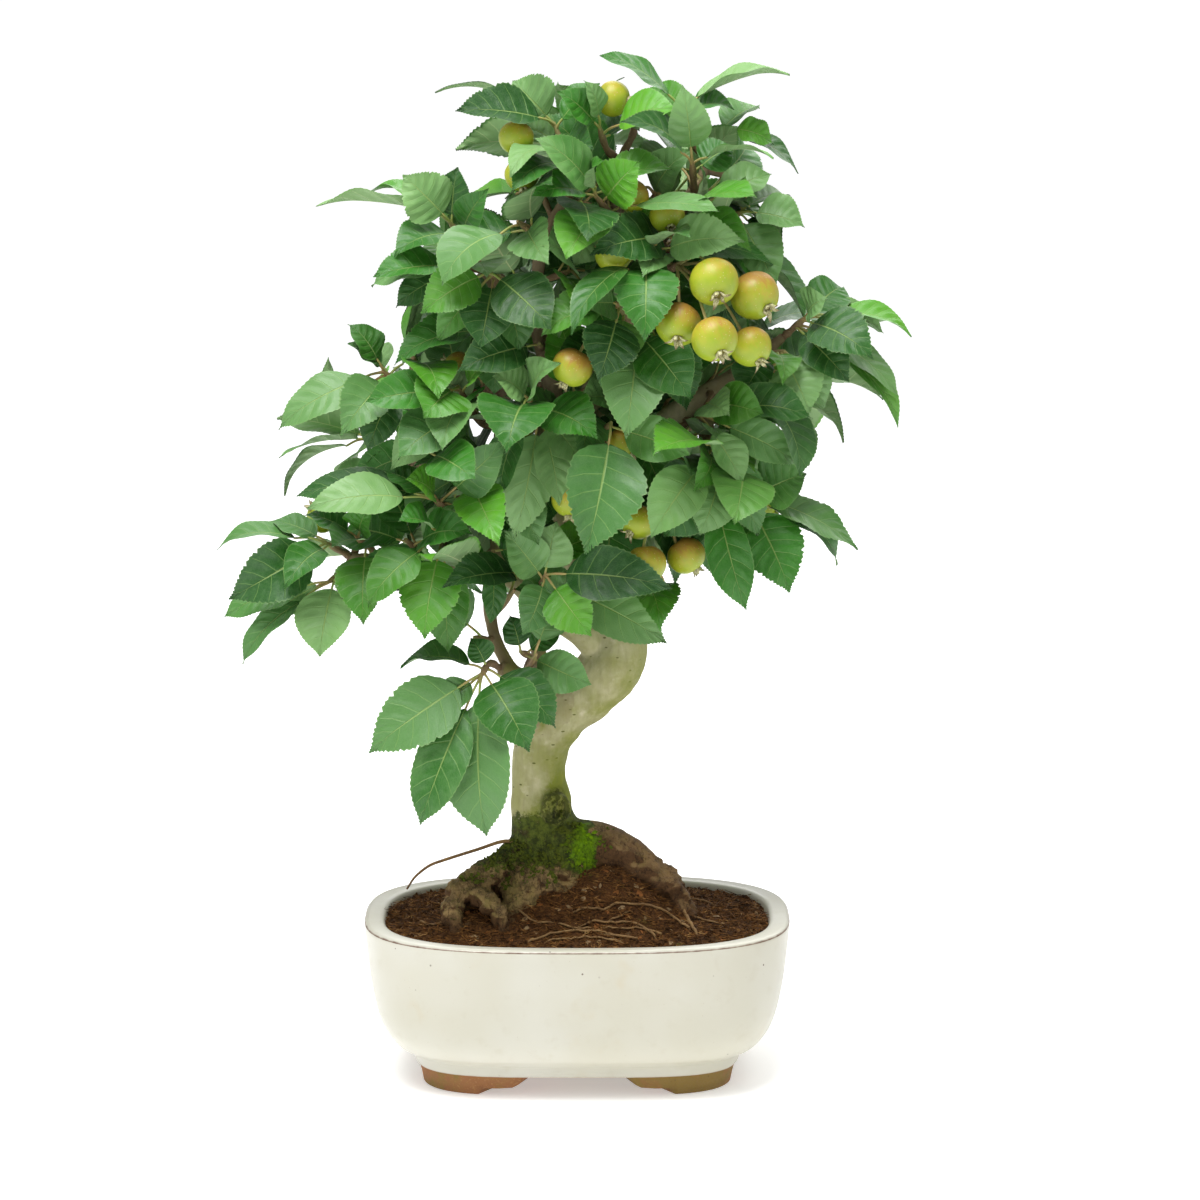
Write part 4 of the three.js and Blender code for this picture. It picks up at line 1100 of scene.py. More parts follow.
# %% Limbs that wander a little, as grown wood does
def wandering(points, steps, seed, amount):
    """The smooth curve through the points, moved off its path by a small noise."""
    line = smooth_line(points, steps)
    for i, (x, y, z, radius) in enumerate(line):
        calm = min(1, i / steps, (len(line) - 1 - i) / steps)
        # one plain noise for each axis, read at three places far apart
        drift = [noise.noise(Vector((x + shift, y - shift, z)) / 17 + Vector((seed, 0, 0)))
                 for shift in (158, 0, -73)]
        swell = 1 + 0.09 * noise.noise(Vector((x, y, z)) / 11 + Vector((0, seed, 0)))
        line[i, :3] += np.array(drift) * amount * calm
        line[i, 3] = radius * swell
    return line


LIMB_SIDES = 20
limb_lines = [wandering(TRUNK, 8, 1, 0.5)]
for index, points in enumerate(ROOTS):
    limb_lines.append(wandering(points, 8, 10 + index, 1.6))
for index, points in enumerate(BRANCHES.values()):
    limb_lines.append(wandering(points, 7, 20 + index, 1.0))
for index, points in enumerate(KNUCKLES):
    limb_lines.append(wandering(points, 7, 50 + index, 1.2))
limb_lines += [smooth_line(points, 4) for points in KNOTS]
skeleton = lines_mesh("skeleton", limb_lines)
limbs = grown("limbs", skeleton, bars, sides=LIMB_SIDES, swell=1.0)
print("limbs before they are melted together:", len(limbs.polygons), "faces")

# %% Melt the limbs into one skin
VOXEL = 1.15
holder = placed("melted", limbs)
melt = holder.modifiers.new("melt", "REMESH")
melt.mode = "VOXEL"
melt.voxel_size = VOXEL * MM
soften = holder.modifiers.new("soften", "SMOOTH")
soften.factor = 0.5
soften.iterations = 4
skin = finished(holder)
bpy.data.objects.remove(holder)
print("wood skin:", len(skin.polygons), "faces")

# %% Which limb each point of the skin belongs to
samples = np.vstack(limb_lines)
nearest = KDTree(len(samples))
for index, sample in enumerate(samples):
    nearest.insert(sample[:3], index)
nearest.balance()
girths = []
places = [(vertex.co - ORIGIN) / MM for vertex in skin.vertices]
normals = [vertex.normal.copy() for vertex in skin.vertices]
for place in places:
    near = nearest.find_n(place, 3)
    girths.append(sum(samples[index][3] for _, index, _ in near) / 3)

# %% Bark relief
SCAR = (-10.6, 136)  # x and z of the healed cut at the foot of the trunk


def scar_relief(place):
    """A collar of healed bark, with folds that wind in to a hollow."""
    if place.y > -9:
        return 0
    far = math.hypot((place.x - SCAR[0]) * 1.1, place.z - SCAR[1])
    far += 1.6 * noise.noise(place / 5)
    collar = 1.5 * math.exp(-((far - 7) / 1.9) ** 2) - 1.2 * math.exp(-(far / 4) ** 2)
    return collar + (0.5 * math.sin(far * 2.6) if far < 7 else 0)


moved, heights = [], []
for place, normal, girth in zip(places, normals, girths):
    rooty = min(1, max(0, (122 - place.z) / 24))
    thick = min(1, girth / 10)
    tall = Vector((place.x, place.y, place.z * 0.45))
    swell = noise.noise(tall / 19) * 0.6 * thick
    grain = noise.noise(Vector((place.x, place.y, place.z * 0.3)) / 2.4) * 0.22
    fold = noise.ridged_multi_fractal(place / 13, 0.9, 2.1, 4, 0.9, 2.0)
    knobs = noise.fractal(place / 7, 0.8, 2.1, 4)
    rough = (0.9 - fold) * 2.0 + knobs * 2.2
    ringed = 0.16 * noise.noise(Vector((0, place.z * 0.9, girth))) * (1 - thick)
    move = (swell + grain) * (1 - rooty) + ringed + rough * rooty
    if girth < 4:
        move = max(-0.5, min(0.5, move))
    move += scar_relief(place)
    moved.append(at(place + normal * move))
    heights.append(move)
skin.vertices.foreach_set("co", np.array([tuple(c) for c in moved], np.float32).ravel())
skin.update()
carry(skin, "girth", girths)
turned_to = np.empty(len(skin.vertices) * 3, np.float32)
skin.vertices.foreach_get("normal", turned_to)
turned_to = turned_to.reshape(-1, 3)
carry(skin, "faces_right", turned_to[:, 0])
carry(skin, "faces_up", turned_to[:, 2])
print("bark relief from", round(min(heights), 2), "to", round(max(heights), 2), "mm")

# %% Thin roots and rootlets
THREAD_SLIM = 0.5  # the fine roots are thinner than their solids
THREAD_SIDES = 7
thin_lines = [wandering([(*p[:3], p[3] * THREAD_SLIM) for p in points], 6, 60 + i, 1.5)
              for i, points in enumerate(THREADS)]
# the one that hangs in the air on the left rises a little from the root
thin_lines[0] = smooth_line(AIR_ROOT, 8)
thin_lines += [draped(points, radius) for radius, points in ROOTLETS]
thin = grown("thin_roots", lines_mesh("thin_lines", thin_lines), bars,
             sides=THREAD_SIDES, swell=1.0)
thin.shade_smooth()
for label in ("girth", "faces_right", "faces_up"):
    carry(thin, label, [0.0] * len(thin.vertices))
skin.shade_smooth()


# %% [markdown]
# ## Bark and moss
#
# Young bark of an apple tree is smooth and pale, grey with a touch of green, and marked
# by small corky dashes that lie across the stem. Old root wood is dark, cracked and
# damp, and moss climbs from it up the shaded side of the trunk. The height above the
# soil and the girth of the limb, both known at every point, say how far each look goes;
# noise breaks the borders up.

# %% Bark material
bark, graph, place = new_material("bark")
across, inwards, height = parted(graph, place)
girth = named(graph, "girth")
broad = cloud(graph, place, 24, 4, 0.6)
patch = cloud(graph, place, 7, 4, 0.6)
streak = cloud(graph, stretched(graph, place, (1, 1, 0.22)), 2.4, 4, 0.6)
fine = cloud(graph, place, 0.9, 3, 0.6)
base = mixed(shade(broad, 0.35, 0.65), colour(188, 182, 146), colour(160, 158, 104))
base = mixed(shade(streak, 0.35, 0.75) * 0.4, base, colour(136, 130, 90))
base = mixed(shade(patch, 0.55, 0.75) * 0.5, base, colour(212, 204, 176))
# corky dashes across the stem
dash_place = stretched(graph, place, (0.6, 0.6, 1.3))
dash = shade(cells(graph, dash_place, 4.4), 0.09, 0.16, 1, 0) * shade(patch, 0.34, 0.42)
base = mixed(dash * 0.85, base, colour(78, 80, 36))
# twigs are darker and redder
twig = shade(girth, 7.0, 3.6)
twig_tone = mixed(streak, colour(96, 78, 62), colour(138, 118, 92))
base = mixed(twig * 0.85, base, twig_tone)

# %% Old root wood
SOIL_LEVEL = 78
above = (height - (ORIGIN.z + SOIL_LEVEL * MM)) / MM
side = (across - ORIGIN.x) / MM
fuzz = cloud(graph, place, 1.5, 4, 0.7)
up, right = named(graph, "faces_up"), named(graph, "faces_right")
old = shade(above + (broad - 0.5) * 22 + (patch - 0.5) * 14 - shade(side, 3, 9) * 16, 50, 36)
old_tone = mixed(shade(patch, 0.3, 0.7), colour(76, 60, 38), colour(150, 124, 82))
old_tone = mixed(shade(fine, 0.45, 0.7) * 0.45, old_tone, colour(164, 138, 96))
olive = shade(cloud(graph, place, 9, 4, 0.65), 0.4, 0.7)
old_tone = mixed(olive * 0.4, old_tone, colour(122, 116, 54))
old_tone = mixed(shade(side, 8, 18) * 0.5, old_tone, colour(98, 68, 46))
# dark soil clings near the soil line, and painted shade darkens the faces of the low roots that
# don't look up, most of all to the right
soil_and_shade_tone = mixed(fuzz, colour(36, 23, 13), colour(108, 76, 46))
back = up + right * 0.35 + (patch - 0.5) * 0.9 - shade(side, 0, 12) * 0.5
soil_and_shade = shade(back, 0.18, -0.12) * shade(above + (patch - 0.5) * 16 - shade(side, 3, 9) * 12, 44, 30)
soil_and_shade = (soil_and_shade + shade(above + (patch - 0.5) * 10, 12, 4)).maths("MINIMUM", 1.0)
old_tone = mixed(soil_and_shade * 0.9, old_tone, soil_and_shade_tone)
base = mixed(old, base, old_tone)

# %% Moss and green film
# a dark band round the foot, a bright cushion to its right, a green film above
band = shade(above + (patch - 0.5) * 22, 60, 46) * shade(above + (broad - 0.5) * 20, 20, 32)
band = band * shade(side + (patch - 0.5) * 18, 12, 0)
cushion_x, cushion_z = (side - 4) / 8.5, (above - 35) / 15.0
cushion = shade((cushion_x * cushion_x + cushion_z * cushion_z).maths("SQRT")
                + (patch - 0.5) * 1.6 + (fuzz - 0.5) * 0.8, 1.3, 0.1)
flecks = shade(cloud(graph, place, 4.2, 3, 0.7), 0.58, 0.68) * shade(above, 34, 22) * 0.8
wedge = shade(side - above * 0.75 + 66 + (patch - 0.5) * 16 + (fuzz - 0.5) * 8, -5, 6)
wedge = wedge * shade(above + (broad - 0.5) * 16, 80, 62) * shade(above, 44, 52)
film = shade(right + (broad - 0.5) * 1.1, -0.2, 0.9) * shade(above + (broad - 0.5) * 40, 160, 120)
thick_enough = shade(girth, 1.2, 2.4)
ragged = shade((band * 0.85 + cushion + flecks * 0.75 + wedge * 0.3) + (fuzz - 0.5) * 0.9,
               0.42, 0.8)
moss_here = ragged * thick_enough
film_here = ((wedge * 0.85 + film * 0.8) * (fuzz * 0.5 + 0.75)).maths("MINIMUM", 1.0)
film_here = film_here * thick_enough * (1.0 - old)
clumped = shade(cloud(graph, place, 3.2, 3, 0.6), 0.35, 0.65)
dark_moss = mixed(clumped * 0.6 + fuzz * 0.4, colour(30, 37, 13), colour(98, 110, 38))
dark_moss = mixed(shade(patch, 0.52, 0.66) * 0.7, dark_moss, colour(58, 44, 26))
lively = mixed(fuzz, colour(60, 92, 8), colour(126, 166, 18))
moss_tone = mixed(shade(cushion + flecks * 0.3 + (broad - 0.5) * 0.6, 0.35, 0.9),
                  dark_moss, lively)
film_tone = mixed(patch, colour(88, 102, 30), colour(144, 148, 62))
base = mixed(film_here, base, film_tone)
base = mixed(moss_here, base, moss_tone)

# %% The scar, the fine roots and the cracks
scar_x, scar_z = side - SCAR[0], above + SOIL_LEVEL - SCAR[1]
scar = (scar_x * scar_x * 1.2 + scar_z * scar_z).maths("SQRT") + (patch - 0.5) * 4
scar_here = shade(scar, 10, 7) * shade(inwards, ORIGIN.y - 9 * MM, ORIGIN.y - 13 * MM)
# the scar is olive, with dark winding lines of painted shade in its folds and pale parts that are
# painted highlights
winding = shade(cloud(graph, stretched(graph, place, (1, 1, 0.6)), 2.6, 3, 0.6), 0.5, 0.6)
base = mixed(scar_here * 0.6, base, mixed(winding, colour(26, 28, 10), colour(128, 128, 66)))
root_tone = mixed(patch, colour(92, 64, 42), colour(166, 134, 88))
base = mixed(thick_enough, root_tone, base)
crack = shade((cloud(graph, stretched(graph, place, (1, 1, 0.6)), 6, 4, 0.6) - 0.5)
              .maths("ABSOLUTE"), 0.0, 0.02, 1, 0) * old * thick_enough
base = mixed(crack * 0.5, base, colour(24, 18, 12))
height_map = streak * 0.35 + patch * 0.2 + fine * 0.2 + moss_here * fuzz * 1.6 + dash * 0.3
height_map = height_map + old * fine - crack * 0.8 - scar_here * winding * 0.9
height_map = height_map + old * soil_and_shade * fuzz * 1.5
finish_material(graph, base, shade(patch, 0.3, 0.7, 0.72, 0.9), height_map, 0.5,
                {"Specular IOR Level": 0.2})
bark_mesh = joined("tree_wood_bark", [skin, thin])
bark_mesh.materials.clear()
bark_mesh.materials.append(bark)
add_piece("tree_wood_bark", bark_mesh, ["tree_wood"])


# %% [markdown]
# ## Leaves
#
# A crabapple leaf is an oval blade with a drawn-out tip and toothed edges, folded a
# little along its rib and arched along its length, on a thin stalk. Six or seven veins
# leave the rib on each side and run forward to the edge, and the blade stands up a
# little between them. One flat pattern leaf is built with its rows laid along those
# veins, so that the teeth end the rows and the relief follows them. Geometry Nodes then
# set a copy on every leaf's place and bend it there, by the same sums that shaped the
# leaves of the solids.

# %% Where each shoot and each leaf of the solids is
# a shoot: its two ends, then its leaves as place on the shoot, tip x, y, z, blade width,
# and how far the face turns to the front, 0 to 10
SPRAYS = {
    "low_front": ((-43, -37, 213), (-47, -44, 208), [
        (1, -45, -62, 131, 33, 9), (1, -77, -56, 136, 27, 9), (0.8, -102, -62, 174, 30, 8),
        (0.7, -23, -66, 175, 29, 9), (0.3, -10, -48, 183, 22, 7), (0.5, -87, -36, 213, 24, 4),
    ]),
    "low_inner": ((-23, -24, 213), (-28, -32, 218), [
        (1, -33, -30, 236, 13, 8), (0.6, 7, -40, 203, 21, 9),
    ]),
    "elbow": ((-20, -24, 245), (-15, -38, 258), [
        (0.9, -26, -52, 230, 20, 9), (1, 7, -54, 230, 25, 8), (1, 46, -50, 254, 24, 7),
        (0.8, 45, -40, 224, 28, 8), (0.7, -35, -48, 281, 20, 7),
    ]),
    "elbow_left": ((-43, -25, 262), (-41, -33, 269), [
        (1, -42, -42, 234, 12, 5), (0.6, -50, -34, 254, 17, 6),
    ]),
    "centre_big": ((11, -30, 326), (17, -46, 334), [
        (1, 5, -74, 274, 37, 9), (0.7, 55, -46, 318, 22, 7),
    ]),
    "right_low": ((67, -20, 301), (65, -30, 313), [
        (1, 39, -44, 296, 22, 8), (0.7, 43, -48, 278, 24, 9), (0.2, 54, -44, 240, 23, 9),
    ]),
    "right_low_tip": ((78, -16, 289), (87, -22, 293), [
        (0.6, 105, -38, 249, 27, 9), (1, 139, -28, 269, 23, 5), (0.8, 131, -12, 259, 19, 3),
        (1, 113, -26, 306, 25, 7),
    ]),
    "right_mid": ((66, -24, 344), (60, -38, 335), [
        (1, 81, -50, 305, 20, 6), (0.8, 115, -44, 336, 25, 7), (0.9, 109, -34, 312, 21, 6),
    ]),
    "right_tip": ((105, -8, 374), (113, -14, 382), [
        (1, 165, -16, 374, 22, 3), (0.7, 144, -36, 365, 25, 8), (0.4, 158, -24, 345, 22, 5),
        (0.2, 133, -34, 353, 20, 6), (1, 122, -24, 392, 18, 6),
    ]),
    "right_fill": ((93, -14, 363), (102, -22, 366), [
        (0.8, 114, -38, 338, 25, 9), (1, 123, -20, 337, 19, 6),
    ]),
    "front_crown": ((33, -26, 411), (34, -46, 417), [
        (1, 33, -78, 378, 33, 9), (0.7, 80, -54, 429, 27, 8), (0.5, 96, -34, 411, 22, 6),
        (0.9, -21, -68, 395, 21, 5),
    ]),
    "centre": ((33, -34, 372), (19, -50, 393), [
        (0.15, 55, -64, 349, 25, 9), (0.1, 24, -72, 330, 27, 9), (0.9, 11, -76, 359, 28, 9),
        (1, 4, -66, 394, 18, 7), (0.9, -17, -60, 379, 24, 7),
    ]),
    "centre_left": ((-37, -26, 396), (-42, -38, 407), [
        (0.9, -12, -62, 382, 25, 7), (0.6, -46, -58, 372, 25, 9), (1, -75, -52, 388, 22, 7),
    ]),
    "heart": ((-16, -30, 334), (-24, -46, 346), [
        (1, -33, -80, 325, 34, 7), (0.7, -10, -60, 365, 21, 6), (0.4, 10, -64, 330, 25, 7),
        (0.2, -30, -50, 277, 22, 8),
    ]),
    "mid_left": ((-47, -26, 331), (-58, -38, 351), [
        (0.1, -86, -60, 319, 26, 7), (1, -73, -66, 340, 30, 8), (0.9, -102, -50, 345, 22, 7),
    ]),
    "mid_left_tip": ((-87, -16, 349), (-95, -22, 356), [
        (1, -147, -30, 330, 22, 7), (0.9, -111, -26, 371, 13, 5), (0.5, -114, -48, 329, 23, 8),
    ]),
    "above_low": ((-61, -34, 291), (-70, -44, 296), [
        (0.6, -34, -62, 327, 25, 9), (0.8, -82, -56, 308, 20, 6), (1, -131, -58, 294, 24, 6),
        (0.7, -138, -34, 298, 20, 4),
    ]),
    "low_left_mid": ((-64, -34, 269), (-68, -46, 280), [
        (0.8, -102, -62, 247, 25, 8), (0.4, -74, -66, 231, 28, 9), (0.1, -63, -46, 220, 22, 8),
    ]),
    "low_left_over": ((-101, -26, 268), (-109, -34, 276), [
        (0.6, -119, -54, 274, 19, 7), (0.8, -101, -44, 292, 18, 6), (0.2, -104, -56, 236, 23, 9),
    ]),
    "low_left_tip": ((-115, -19, 265), (-124, -28, 272), [
        (1, -170, -48, 247, 26, 8), (1, -178, -28, 271, 21, 4),
    ]),
    "low_left_under": ((-114, -20, 257), (-123, -30, 252), [
        (1, -174, -34, 236, 17, 4), (0.9, -151, -24, 234, 23, 8), (0.5, -126, -50, 219, 25, 9),
    ]),
    "top_left": ((-1, -26, 450), (-11, -24, 478), [
        (1, -58, -42, 485, 24, 4), (1, -31, -18, 498, 24, 7), (0.95, -69, -4, 492, 17, 1),
        (0.5, -46, -52, 461, 19, 3),
    ]),
    "top_centre": ((19, -30, 432), (9, -44, 444), [
        (0.9, -21, -66, 446, 19, 4), (1, -19, -50, 471, 20, 5), (0.6, 30, -56, 461, 22, 7),
        (0.3, -5, -74, 417, 29, 7),
    ]),
    "left_upper": ((-55, -18, 418), (-62, -24, 430), [
        (1, -84, -32, 453, 23, 8), (0.8, -58, -22, 456, 18, 7), (1, -127, -18, 439, 19, 1),
        (0.9, -104, 0, 443, 19, 3),
    ]),
    "left_upper_low": ((-48, -24, 406), (-58, -34, 408), [
        (0.8, -98, -50, 406, 23, 4), (1, -100, -30, 399, 17, 4), (0.2, -43, -64, 407, 26, 7),
    ]),
    "apex_left": ((15, -18, 464), (11, -26, 476), [
        (0.6, 48, -44, 486, 25, 6), (1, 5, -30, 497, 14, 5), (0.8, -8, -40, 494, 17, 6),
    ]),
    "apex_right": ((55, -12, 470), (50, -12, 484), [
        (1, 12, -20, 511, 19, 3), (0.9, 103, -12, 503, 20, 2), (0.7, 77, -18, 485, 20, 5),
    ]),
    "top_right": ((57, -27, 448), (56, -35, 460), [
        (1, 51, -46, 497, 20, 9), (0.8, 22, -58, 481, 19, 5), (0.9, 95, -46, 463, 17, 1),
        (0.4, 76, -32, 467, 24, 8),
    ]),
    "top_right_side": ((66, -3, 462), (71, -3, 475), [
        (1, 97, -4, 466, 18, 5), (0.8, 110, 2, 452, 19, 3), (0.5, 90, 14, 484, 18, 4),
    ]),
    "shoulder": ((72, -12, 430), (81, -19, 434), [
        (1, 111, -30, 428, 23, 5), (0.6, 97, -40, 400, 22, 7), (0.8, 94, -10, 414, 15, 5),
    ]),
}

BACK_SPRAYS = {
    "back_low": ((36, 58, 287), (38, 70, 292), 3),
    "back_low_inner": ((10, 40, 262), (4, 54, 262), 3),
    "back_left_tip": ((-96, 36, 310), (-106, 42, 314), 3),
    "back_left": ((-66, 34, 292), (-70, 46, 286), 3),
    "back_mid": ((-40, 57, 361), (-46, 67, 368), 3),
    "back_right_tip": ((92, 44, 344), (103, 50, 346), 3),
    "back_right": ((58, 40, 322), (58, 54, 316), 3),
    "back_high": ((42, 49, 418), (46, 60, 424), 3),
    "back_high_left": ((-34, 8, 396), (-44, 20, 402), 3),
    "back_top": ((5, 29, 449), (0, 38, 460), 3),
    "back_centre": ((14, 46, 352), (12, 60, 352), 3),
}

# leaves of the same shoots that the solids leave out
MORE = {
    "elbow": [(0.9, -10, -40, 284, 20, 7)],
    "centre_big": [(0.5, -8, -46, 309, 20, 6)],
    "right_low": [(0.1, 68, -26, 253, 18, 5), (0.5, 71, -34, 271, 19, 8)],
    "right_low_tip": [(0.3, 82, -14, 262, 18, 5)],
    "right_mid": [(0.2, 90, -50, 339, 20, 7), (0.3, 73, -60, 340, 18, 8)],
    "right_tip": [(0.9, 132, 4, 395, 19, 4), (0.3, 168, -2, 338, 17, 3),
        (0.9, 152, -6, 374, 20, 4)],
    "right_fill": [(0.5, 101, -46, 354, 15, 6), (0.3, 82, -28, 345, 20, 6)],
    "front_crown": [(0.6, 54, -66, 427, 21, 5), (0.5, 7, -46, 405, 20, 6)],
    "centre": [(0.7, 18, -62, 366, 20, 7), (0.5, 25, -56, 341, 24, 7)],
    "centre_left": [(0.8, -68, -46, 373, 17, 6), (0.3, -27, -44, 368, 20, 7)],
    "heart": [(0.1, -8, -56, 295, 18, 6), (0.3, 3, -54, 315, 23, 7),
        (0.8, -37, -54, 299, 19, 7), (0.8, -40, -54, 358, 20, 7)],
    "mid_left": [(0.8, -37, -50, 365, 22, 6), (0.3, -91, -40, 310, 18, 5),
        (0.6, -55, -62, 343, 22, 7)],
    "mid_left_tip": [(0.1, -102, -38, 319, 18, 8), (0.6, -63, -6, 369, 13, 3),
        (0.4, -77, 4, 346, 18, 6), (0.7, -104, -2, 364, 15, 5), (0.7, -115, -34, 341, 14, 4),
        (1, -111, -20, 379, 17, 5)],
    "above_low": [(1, -94, -42, 310, 18, 3), (0.3, -48, -56, 288, 18, 7)],
    "low_left_mid": [(1, -86, -58, 288, 18, 4)],
    "low_left_over": [(1, -133, -34, 287, 15, 5), (0.1, -95, -30, 243, 16, 5)],
    "low_left_tip": [(0.8, -152, -18, 282, 17, 4), (0.7, -142, -56, 255, 17, 6)],
    "low_left_under": [(1, -165, -44, 215, 15, 6)],
    "top_left": [(0.1, -30, -58, 449, 21, 6), (0.9, 11, -24, 497, 15, 4),
        (0.6, 8, -46, 467, 18, 8), (0.5, -28, -10, 475, 18, 5)],
    "top_centre": [(0.1, 84, -62, 447, 19, 2), (0.2, 86, -52, 432, 22, 4),
        (0.9, 12, -60, 462, 15, 6)],
    "left_upper": [(0.1, -43, -44, 447, 17, 7), (0.3, -88, -44, 416, 22, 5)],
    "left_upper_low": [(0.5, -81, -14, 390, 18, 5), (0.7, -88, -50, 392, 19, 7)],
    "shoulder": [(0.9, 105, 0, 440, 18, 4)],
    "apex_left": [(0.4, 31, -12, 473, 20, 5)],
    "apex_right": [(0.3, 36, 4, 494, 18, 5)],
    "low_front": [(0.9, -68, -48, 190, 18, 7), (0.2, -52, -38, 226, 13, 5)],
    "low_inner": [(0.4, -8, -26, 229, 14, 6)],
    "elbow_left": [(0.5, -56, -30, 265, 15, 6), (0.9, -14, -44, 273, 21, 9)],
}

# a bunch of fruit: its spur's two ends, then each apple as middle, radius, and the way
# that its eye looks
BUNCHES = {
    "main": ((46, -40, 409), (49, -47, 411), [
        (66, -72, 405, 11.8, 0.15, -0.8, -0.55), (86, -58, 397, 12, 0.55, -0.6, -0.5),
        (49, -66, 384, 11, -0.05, -0.75, -0.65), (66, -84, 379, 11.2, 0.3, -0.7, -0.6),
        (84, -64, 373, 10.2, 0.45, -0.5, -0.7),
    ]),
    "top": ((28, -7, 472), (26, -9, 482), [
        (18, -22, 489, 8.8, 0.9, -0.3, -0.1),
    ]),
    "top_left": ((-9, -32, 447), (-17, -38, 455), [
        (-29, -36, 471, 8.6, -0.1, -0.6, -0.7), (-26, -46, 454, 8.4, 0.1, -0.4, -0.8),
    ]),
    "upper": ((40, -24, 437), (38, -30, 444), [
        (27, -38, 443, 8.2, -0.5, -0.7, -0.3), (44, -44, 434, 8.6, 0.2, -0.7, -0.6),
    ]),
    "light": ((26, -32, 402), (25, -38, 406), [
        (18, -50, 417, 9.4, -0.3, -0.6, 0.2),
    ]),
    "centre": ((14, -34, 372), (11, -40, 375), [
        (-2, -56, 362, 10, -0.45, -0.2, -0.85),
    ]),
    "left": ((-43, -22, 346), (-46, -26, 350), [
        (-58, -24, 358, 8.2, -0.6, 0.1, 0.3),
    ]),
    "mid": ((4, -20, 306), (5, -30, 308), [
        (-3, -46, 296, 9.4, -0.05, -0.3, -0.95), (23, -40, 322, 8.8, 0.5, -0.5, -0.3),
    ]),
    "low": ((46, -20, 296), (44, -26, 294), [
        (30, -40, 284, 8.8, -0.5, -0.6, -0.6), (34, -46, 264, 10, 0.1, -0.2, -0.9),
        (54, -32, 266, 9.6, 0.6, -0.1, -0.8),
    ]),
    "right": ((76, -8, 296), (80, -6, 298), [
        (92, -4, 287, 9, 0.8, -0.2, -0.4),
    ]),
    "far_left": ((-109, -12, 270), (-114, -10, 274), [
        (-126, -8, 282, 8.6, -0.6, -0.2, 0.5),
    ]),
    "back_low": ((26, 34, 252), (26, 40, 247), [
        (16, 50, 232, 9.4, -0.2, 0.4, -0.9), (36, 54, 236, 9, 0.3, 0.4, -0.8),
    ]),
    "back_mid": ((-26, 48, 336), (-26, 54, 334), [
        (-30, 62, 318, 9.2, -0.3, 0.4, -0.9),
    ]),
    "back_high": ((46, 44, 404), (52, 48, 404), [
        (66, 56, 396, 9.4, 0.5, 0.4, -0.7),
    ]),
}

LEAF_THICK = 0.8  # of the leaves in the solids
ARCH, FOLD = 0.1, 0.3
FRONT, UP = Vector((0, -0.985, 0.17)), Vector((0, 0, 1))
SHIFTS = [
    (0, 0), (-5, 0), (5, 0), (0, 7), (0, -7), (-10, 0), (10, 0), (-5, 8), (-5, -8),
    (6, 8), (6, -8), (-15, 0), (14, 0), (0, 15), (0, -15), (-12, 13), (-12, -13),
    (12, 13), (12, -13), (-22, 0), (20, 0), (-8, 24), (-8, -24), (8, 24), (8, -24),
]
POSES = [(shift, swing, length) for length in (1, 0.88) for shift, swing in SHIFTS]


def draws(a, b):
    """A repeatable stream of numbers from 0 to 1."""
    state = (7919 * (a + 1) + 104729 * (b + 1)) % 2147483647
    while True:
        state = state * 16807 % 2147483647
        yield state / 2147483647


def facing_of(outward_way, share):
    """The way a leaf's face looks: `share` tenths outwards, the rest up."""
    return (outward_way * (share / 10) + UP * (1.05 - share / 10)).normalized()


def leaf_frame(root, tip, width, facing, outward_way, draw, pose):
    """Where a leaf's blade starts and ends and how it is turned, arched and folded."""
    shift, swing, part = pose
    reach = Matrix.Rotation(math.radians(swing), 3, facing) @ (Vector(tip) - root) * part
    end = root + reach - outward_way * shift
    chord = end - root
    length = chord.length
    chord.normalize()
    normal = (facing - chord * facing.dot(chord)).normalized()
    normal = Matrix.Rotation((next(draw) - 0.5) * 0.7, 3, chord) @ normal
    stalk = min(max(0.27 * length, 4), 18)
    base = root + chord * stalk + normal * 0.05 * length
    axis = end - base
    blade = axis.length
    axis.normalize()
    up = (normal - axis * normal.dot(axis)).normalized()
    return {
        "root": root, "base": base, "axis": axis, "up": up, "side": axis.cross(up),
        "blade": blade, "half": width / 2, "arch": ARCH * (0.4 + 1.2 * next(draw)),
        "fold": FOLD * (0.4 + 1.2 * next(draw)), "chord": chord}


def blade_point(leaf, along, out):
    """A place on the blade: along the rib from 0 to 1, out from it in half widths."""
    wide = abs(out) * leaf["half"]
    return (leaf["base"] + leaf["axis"] * leaf["blade"] * along
            + leaf["up"] * 4 * leaf["arch"] * leaf["blade"] * along * (1 - along)
            + leaf["side"] * math.copysign(wide, out) * math.cos(leaf["fold"])
            + leaf["up"] * wide * math.sin(leaf["fold"]))


# %% Find each leaf of the solids in the way it lies there
APPLE_CLEAR = 0.6  # between a blade and an apple


def corners_of(node):
    """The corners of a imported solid, ready to be searched."""
    solid = frame["nodes"][node]
    tree = KDTree(len(solid.data.vertices))
    for index, vertex in enumerate(solid.data.vertices):
        tree.insert(solid.matrix_world @ vertex.co, index)
    tree.balance()
    return tree


def fanned(start, end, index, first, last):
    """The leaves of a shoot at the back, fanned round it and drooping."""
    aim = (end - start).normalized()
    draw = draws(200 + index, 7)
    level = Vector((-aim.y, aim.x, 0)).normalized()
    upright = aim.cross(level)
    if upright.z < 0:
        upright.negate()
    leaves = []
    for i in range(last):
        turn = i * 2.4 + index
        ahead = 0.35 + 0.5 * next(draw)
        way = (aim * ahead + level * math.cos(turn) + upright * 0.75 * math.sin(turn))
        way.z -= 0.35
        way.normalize()
        place = (i + 1) / first
        length = 48 + 18 * next(draw)
        width = length * (0.36 + 0.08 * next(draw))
        if i >= first:
            place = (i - first + 0.5) / (last - first + 1)
        tip = start.lerp(end, place) + way * length
        leaves.append((place, *tip, width, 5))
    return leaves


